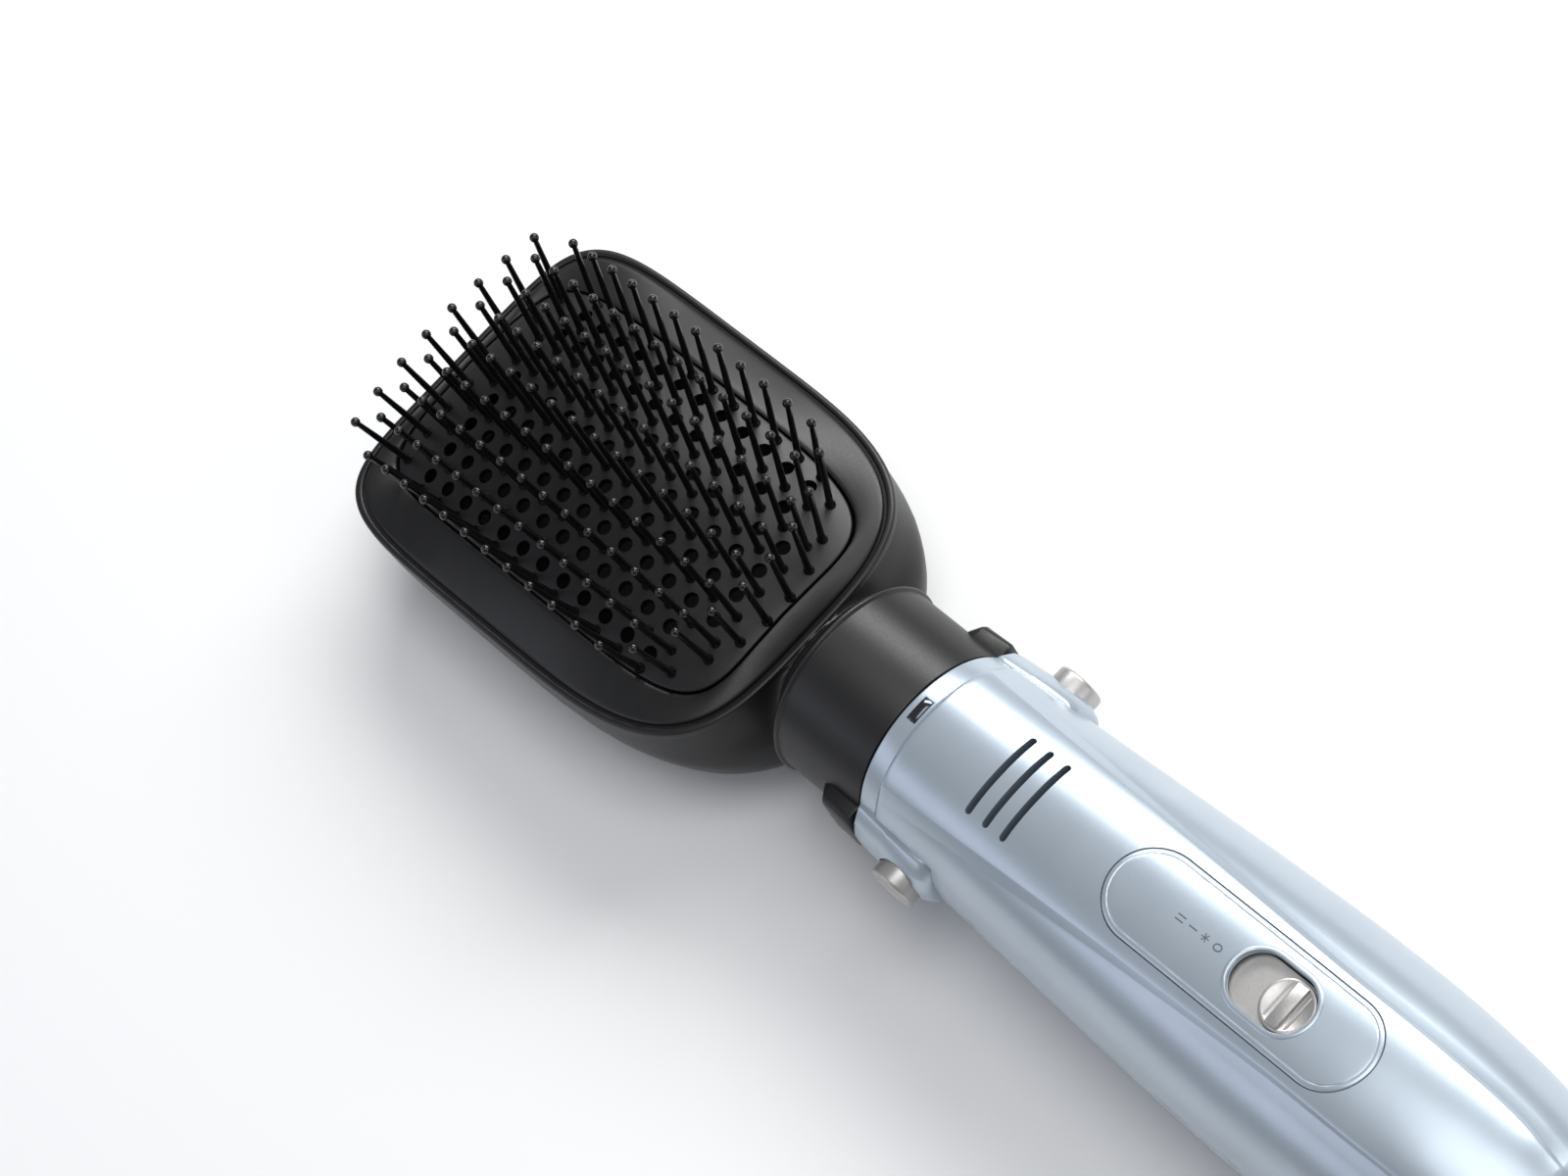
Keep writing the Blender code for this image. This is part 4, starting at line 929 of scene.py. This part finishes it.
# %% Release buttons: a dished face, a bright edge and the latch hook behind
def button(side):
    profile = [(23.0, 5.2), (23.4, BUTTON_R), (29.2, BUTTON_R), (29.7, 5.45), (29.95, 5.1), (30.0, 4.7),
               (29.9, 4.4), (29.65, 3.9), (29.5, 2.6), (29.45, 1.2)]
    rings = [[(BUTTON_X + r * math.cos(a), side * y, r * math.sin(a))
              for a in (2 * math.pi * k / 64 for k in range(64))] for y, r in profile]
    hook = box_shape((BUTTON_X - 2.2, min(side * 19.0, side * 24.0), -2.2),
                     (BUTTON_X + 2.2, max(side * 19.0, side * 24.0), 2.2))
    return together(skin(rings), hook)


for name, side in (("left", -1), ("right", 1)):
    piece(f"button_{name}", button(side), satin_metal, f"release_button_{name}", f"release_button_{name}")
print("buttons at x", BUTTON_X)

# %% [markdown]
# ## The switch
# A long pearl inlay is let into the top strip. A hairline runs round it, and a second one just
# inside its edge. The slide switch sits in a round-ended well near the tail end: a satin plate
# fills the well, and the fingertip disc on it has a raised bar across the slide's direction.

# %% Panel with its hairline
def panel_height(x, y):
    reach = (PANEL_LENGTH - PANEL_WIDTH) / 2
    beyond = max(0.0, abs(x - PANEL_X) - reach)
    inset = PANEL_WIDTH / 2 - math.hypot(beyond, y)
    line = 0.1 * math.exp(-((inset - 1.25) / 0.14) ** 2)
    return top_z(x, y) - line


def panel_shape():
    def ring(inset, drop=0.0):
        outline = stadium(PANEL_X, PANEL_LENGTH - 2 * inset, PANEL_WIDTH - 2 * inset, 40)
        dense = []
        for k, (x, y) in enumerate(outline):
            nx, ny = outline[(k + 1) % len(outline)]
            cuts = 24 if math.hypot(nx - x, ny - y) > 5 else 1
            dense += [(x + (nx - x) * j / cuts, y + (ny - y) * j / cuts) for j in range(cuts)]
        return [(x, y, panel_height(x, y) - drop) for x, y in dense]
    rings = [ring(i, 1.3) for i in (9.9, 7.5, 5.0, 2.6, 0.1)] + [ring(0.0, 0.3), ring(0.06, 0.1), ring(0.2)]
    rings += [ring(i) for i in (0.9, 1.02, 1.12, 1.25, 1.38, 1.48, 1.6, 2.4,
                                3.4, 4.6, 5.8, 7.0, 8.2, 9.2, 10.2, 10.5)]
    points, faces = skin(rings, caps=False)
    count = len(rings[0])
    start = (len(rings) - 1) * count
    for i in range(20, 20 + count // 2):
        across = [start + k % count for k in (i, i + 1, 39 - i, 40 - i)]
        faces.append(tuple(dict.fromkeys(across)))
    faces.append(tuple(range(count)))
    return points, faces


panel = piece("panel", panel_shape(), pearl_lacquer, "handle", "switch_panel")
panel_skin = surface_of(panel)
carve(panel, slab(stadium(WELL_X, WELL_LENGTH, WELL_WIDTH, 24), 8, 40))
keep_shading(panel, panel_skin)


def well_ring(inset, rise):
    outline = stadium(WELL_X, WELL_LENGTH - 2 * inset, WELL_WIDTH - 2 * inset, 32)
    return [(x, y, top_z(x, y) + rise) for x, y in outline]


lip_profile = ((-1.0, -0.05), (-0.75, 0.12), (-0.35, 0.2), (0.05, 0.12), (0.3, -0.15), (0.35, -0.6),
               (0.35, -1.25), (-0.02, -1.25), (-0.02, -0.4), (-0.9, -0.4))
piece("well_lip", skin([well_ring(i, h) for i, h in lip_profile], loop=True), pearl_lacquer, "handle")
print("panel", len(panel.data.polygons), "faces")


# %% The sliding knob with its plate
def disc(x, profile, sides=72):
    return skin([[(x + r * math.cos(a), r * math.sin(a), z)
                  for a in (2 * math.pi * k / sides for k in range(sides))] for r, z in profile])


KNOB_X = WELL_X + WELL_LENGTH / 2 - WELL_WIDTH / 2 + 0.4
knob_top = station(KNOB_X)[1] - 0.7
plate_top = station(KNOB_X)[1] - 1.3 - 0.9
plate = slab(stadium(WELL_X + 3.45, WELL_LENGTH + 7.9, WELL_WIDTH - 1.2, 24), plate_top - 1.0, plate_top)
button_top = knob_top - 0.55
knob_disc = disc(KNOB_X, ((6.1, plate_top - 0.2), (6.1, button_top - 0.45), (5.95, button_top - 0.15),
                          (5.6, button_top), (5.2, button_top - 0.05), (4.9, button_top - 0.22),
                          (1.0, button_top - 0.22)))
bar = []
for dx, rise in ((-1.75, -0.5), (-1.6, 0.2), (-1.35, 0.5), (-0.8, 0.56),
                 (0.8, 0.56), (1.35, 0.5), (1.6, 0.2), (1.75, -0.5)):
    bar.append([(KNOB_X + dx, y, button_top + h) for y, h in
                ((-5.3, -0.5), (-5.2, rise - 0.2), (-4.9, rise), (4.9, rise),
                 (5.2, rise - 0.2), (5.3, -0.5))])
grooves = [box_shape((KNOB_X + s * 2.75 - 0.22, -4.3, button_top - 0.3),
                     (KNOB_X + s * 2.75 + 0.22, 4.3, button_top - 0.05))
           for s in (-1, 1)]
piece("knob", together(plate, knob_disc, skin(bar), *grooves), satin_metal, "switch_knob", "switch_knob")
print("knob at x", round(KNOB_X, 2))


# %% [markdown]
# The four settings are pad-printed in grey ink: two bars, one bar, a snowflake for cold air, and
# a ring for off. They are common symbols. Each stroke is a thin raised strip 0.28 mm wide, so
# the ink keeps its edge at any resolution.

# %% Setting symbols
def stroke(x0, y0, x1, y1, width=0.28):
    start, end = Vector((x0, y0)), Vector((x1, y1))
    side = (end - start).normalized().orthogonal() * (width / 2)
    corners = (start + side, end + side, end - side, start - side)
    return skin([[(p.x, p.y, top_z(p.x, p.y) + h) for p in corners] for h in (-0.1, 0.03)])


ink = [stroke(78.8, y, 81.0, y) for y in (-0.55, 0.55)]
ink.append(stroke(82.3, 0.0, 84.5, 0.0))
for k in range(3):
    reach = Vector((math.cos(math.radians(60 * k)), math.sin(math.radians(60 * k))))
    ink.append(stroke(86.8 - reach.x, -reach.y, 86.8 + reach.x, reach.y, 0.22))
ring_points = [(90.3 + 0.95 * math.cos(a), 0.75 * math.sin(a))
               for a in (2 * math.pi * k / 20 for k in range(21))]
ink += [stroke(*p, *q) for p, q in zip(ring_points, ring_points[1:])]
piece("setting_symbols", together(*ink), marking_ink, "handle")
print("symbols", len(ink), "strokes")

# %% [markdown]
# ## The tail
# The air comes in through a slotted ring at the tail, and the cord's rubber gland turns in the
# middle of it. The gland has ribs that let it flex. It ends in an open bore, where the cord
# would leave it.

# %% Intake grille, gland and tail screw
grille = piece("grille", lathe([(174.5, 5.6), (176.2, 5.6), (176.5, 5.9),
                                (176.5, 15.2), (176.1, 15.6), (174.5, 15.6)], 96),
               black_polyamide, "handle", "rear_grille")
for k in range(12):
    a = 2 * math.pi * k / 12
    out, across = Vector((0, math.cos(a), math.sin(a))), Vector((0, -math.sin(a), math.cos(a)))
    corners = [out * r + across * w for r, w in ((7.6, -0.6), (7.6, 0.6), (7.9, 0.9),
                                                (13.2, 0.9), (13.6, 0.6),
                                                 (13.6, -0.6), (13.2, -0.9), (7.9, -0.9))]
    carve(grille, skin([[(x, c.y, c.z) for c in corners] for x in (172, 179)]))
gland_profile = [(167.0, 3.4), (189.4, 3.4), (190.0, 3.8), (190.0, 4.3), (189.6, 4.8)]
for x in (187.2, 184.4, 181.6):
    gland_profile += [(x + 0.5, 4.9), (x + 0.3, 4.4), (x - 0.5, 4.4), (x - 0.7, 4.95)]
gland_profile += [(179.0, 5.2), (167.0, 5.2)]
piece("gland", lathe(gland_profile, 64), soft_rubber, "cord_gland", "cord_gland")
SCREW_X = 160.5
cross_screw("handle_screw", "tail_screw", (SCREW_X, 0, -station(SCREW_X)[2] + 1.2), (0, 0, -1),
            zinc_steel, "handle")
print("grille", len(grille.data.polygons), "faces")

# %% [markdown]
# ## Table, light and camera
# The brush lies on a plain white table. A big softbox high on one side gives the pearl its
# broad highlight, a long low strip on the other side gives a thin line along the silhouette,
# and a weak overhead panel keeps the black plastic readable. The camera uses a long lens from
# about a metre, which keeps the paddle's outline true.

# %% Table
table_finish = finish("matt_white_table", "table", "#f4f4f4", 0.6, vary=0.004, grain_mm=2.0, bump=0.002,
                      rough_vary=0.02, blotch_mm=400.0)
ground = bpy.data.meshes.new("table")
ground.from_pydata([(-3.0, -3.0, 0), (3.0, -3.0, 0), (3.0, 3.0, 0), (-3.0, 3.0, 0)], [], [(0, 1, 2, 3)])
table = bpy.data.objects.new("table", ground)
bpy.context.scene.collection.objects.link(table)
table.data.materials.append(table_finish)


# %% Lights
def softbox(name, place, aim, size, watts, colour="#ffffff"):
    lamp = bpy.data.lights.new(name, "AREA")
    lamp.shape, lamp.energy = "RECTANGLE", watts
    lamp.size, lamp.size_y = size[0] * MM, size[1] * MM
    lamp.color = linear(colour)[:3]
    thing = bpy.data.objects.new(name, lamp)
    thing.location = ORIGIN + Vector(place) * MM
    thing.rotation_euler = (Vector(aim) - Vector(place)).to_track_quat("-Z", "Y").to_euler()
    bpy.context.scene.collection.objects.link(thing)
    return thing


softbox("key", (-300, 720, 640), (0, 0, 0), (1000, 340), 10)
softbox("left", (-350, -720, 470), (0, 0, 0), (900, 320), 1.2, "#eceeff")
softbox("overhead", (250, 100, 1300), (20, 0, 0), (800, 800), 6)
softbox("tail", (900, 250, 500), (60, 0, 0), (400, 600), 1.5)
world = bpy.data.worlds.new("studio")
bpy.context.scene.world = world
world.use_nodes = True
world.node_tree.nodes["Background"].inputs["Color"].default_value = linear("#eef1f5")
world.node_tree.nodes["Background"].inputs["Strength"].default_value = 0.28

# %% Camera
lens = bpy.data.cameras.new("camera")
lens.lens, lens.sensor_width = 120.9, 36.0
lens.clip_start = 0.05
camera = bpy.data.objects.new("camera", lens)
right = Vector((0.675, 0.682, -0.283)).normalized()
back = Vector((0.497, -0.137, 0.857))
back = (back - right * back.dot(right)).normalized()
up = back.cross(right)
rows = Matrix((right, up, back)).transposed().to_4x4()
rows.translation = ORIGIN + Vector((514.2, -150.6, 979.8)) * MM
camera.matrix_world = rows
bpy.context.scene.collection.objects.link(camera)
bpy.context.scene.camera = camera
bpy.context.scene.view_settings.view_transform = "Standard"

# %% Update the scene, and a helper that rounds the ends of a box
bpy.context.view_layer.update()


def plain(box):
    return [[round(float(v), 6) for v in end] for end in box]
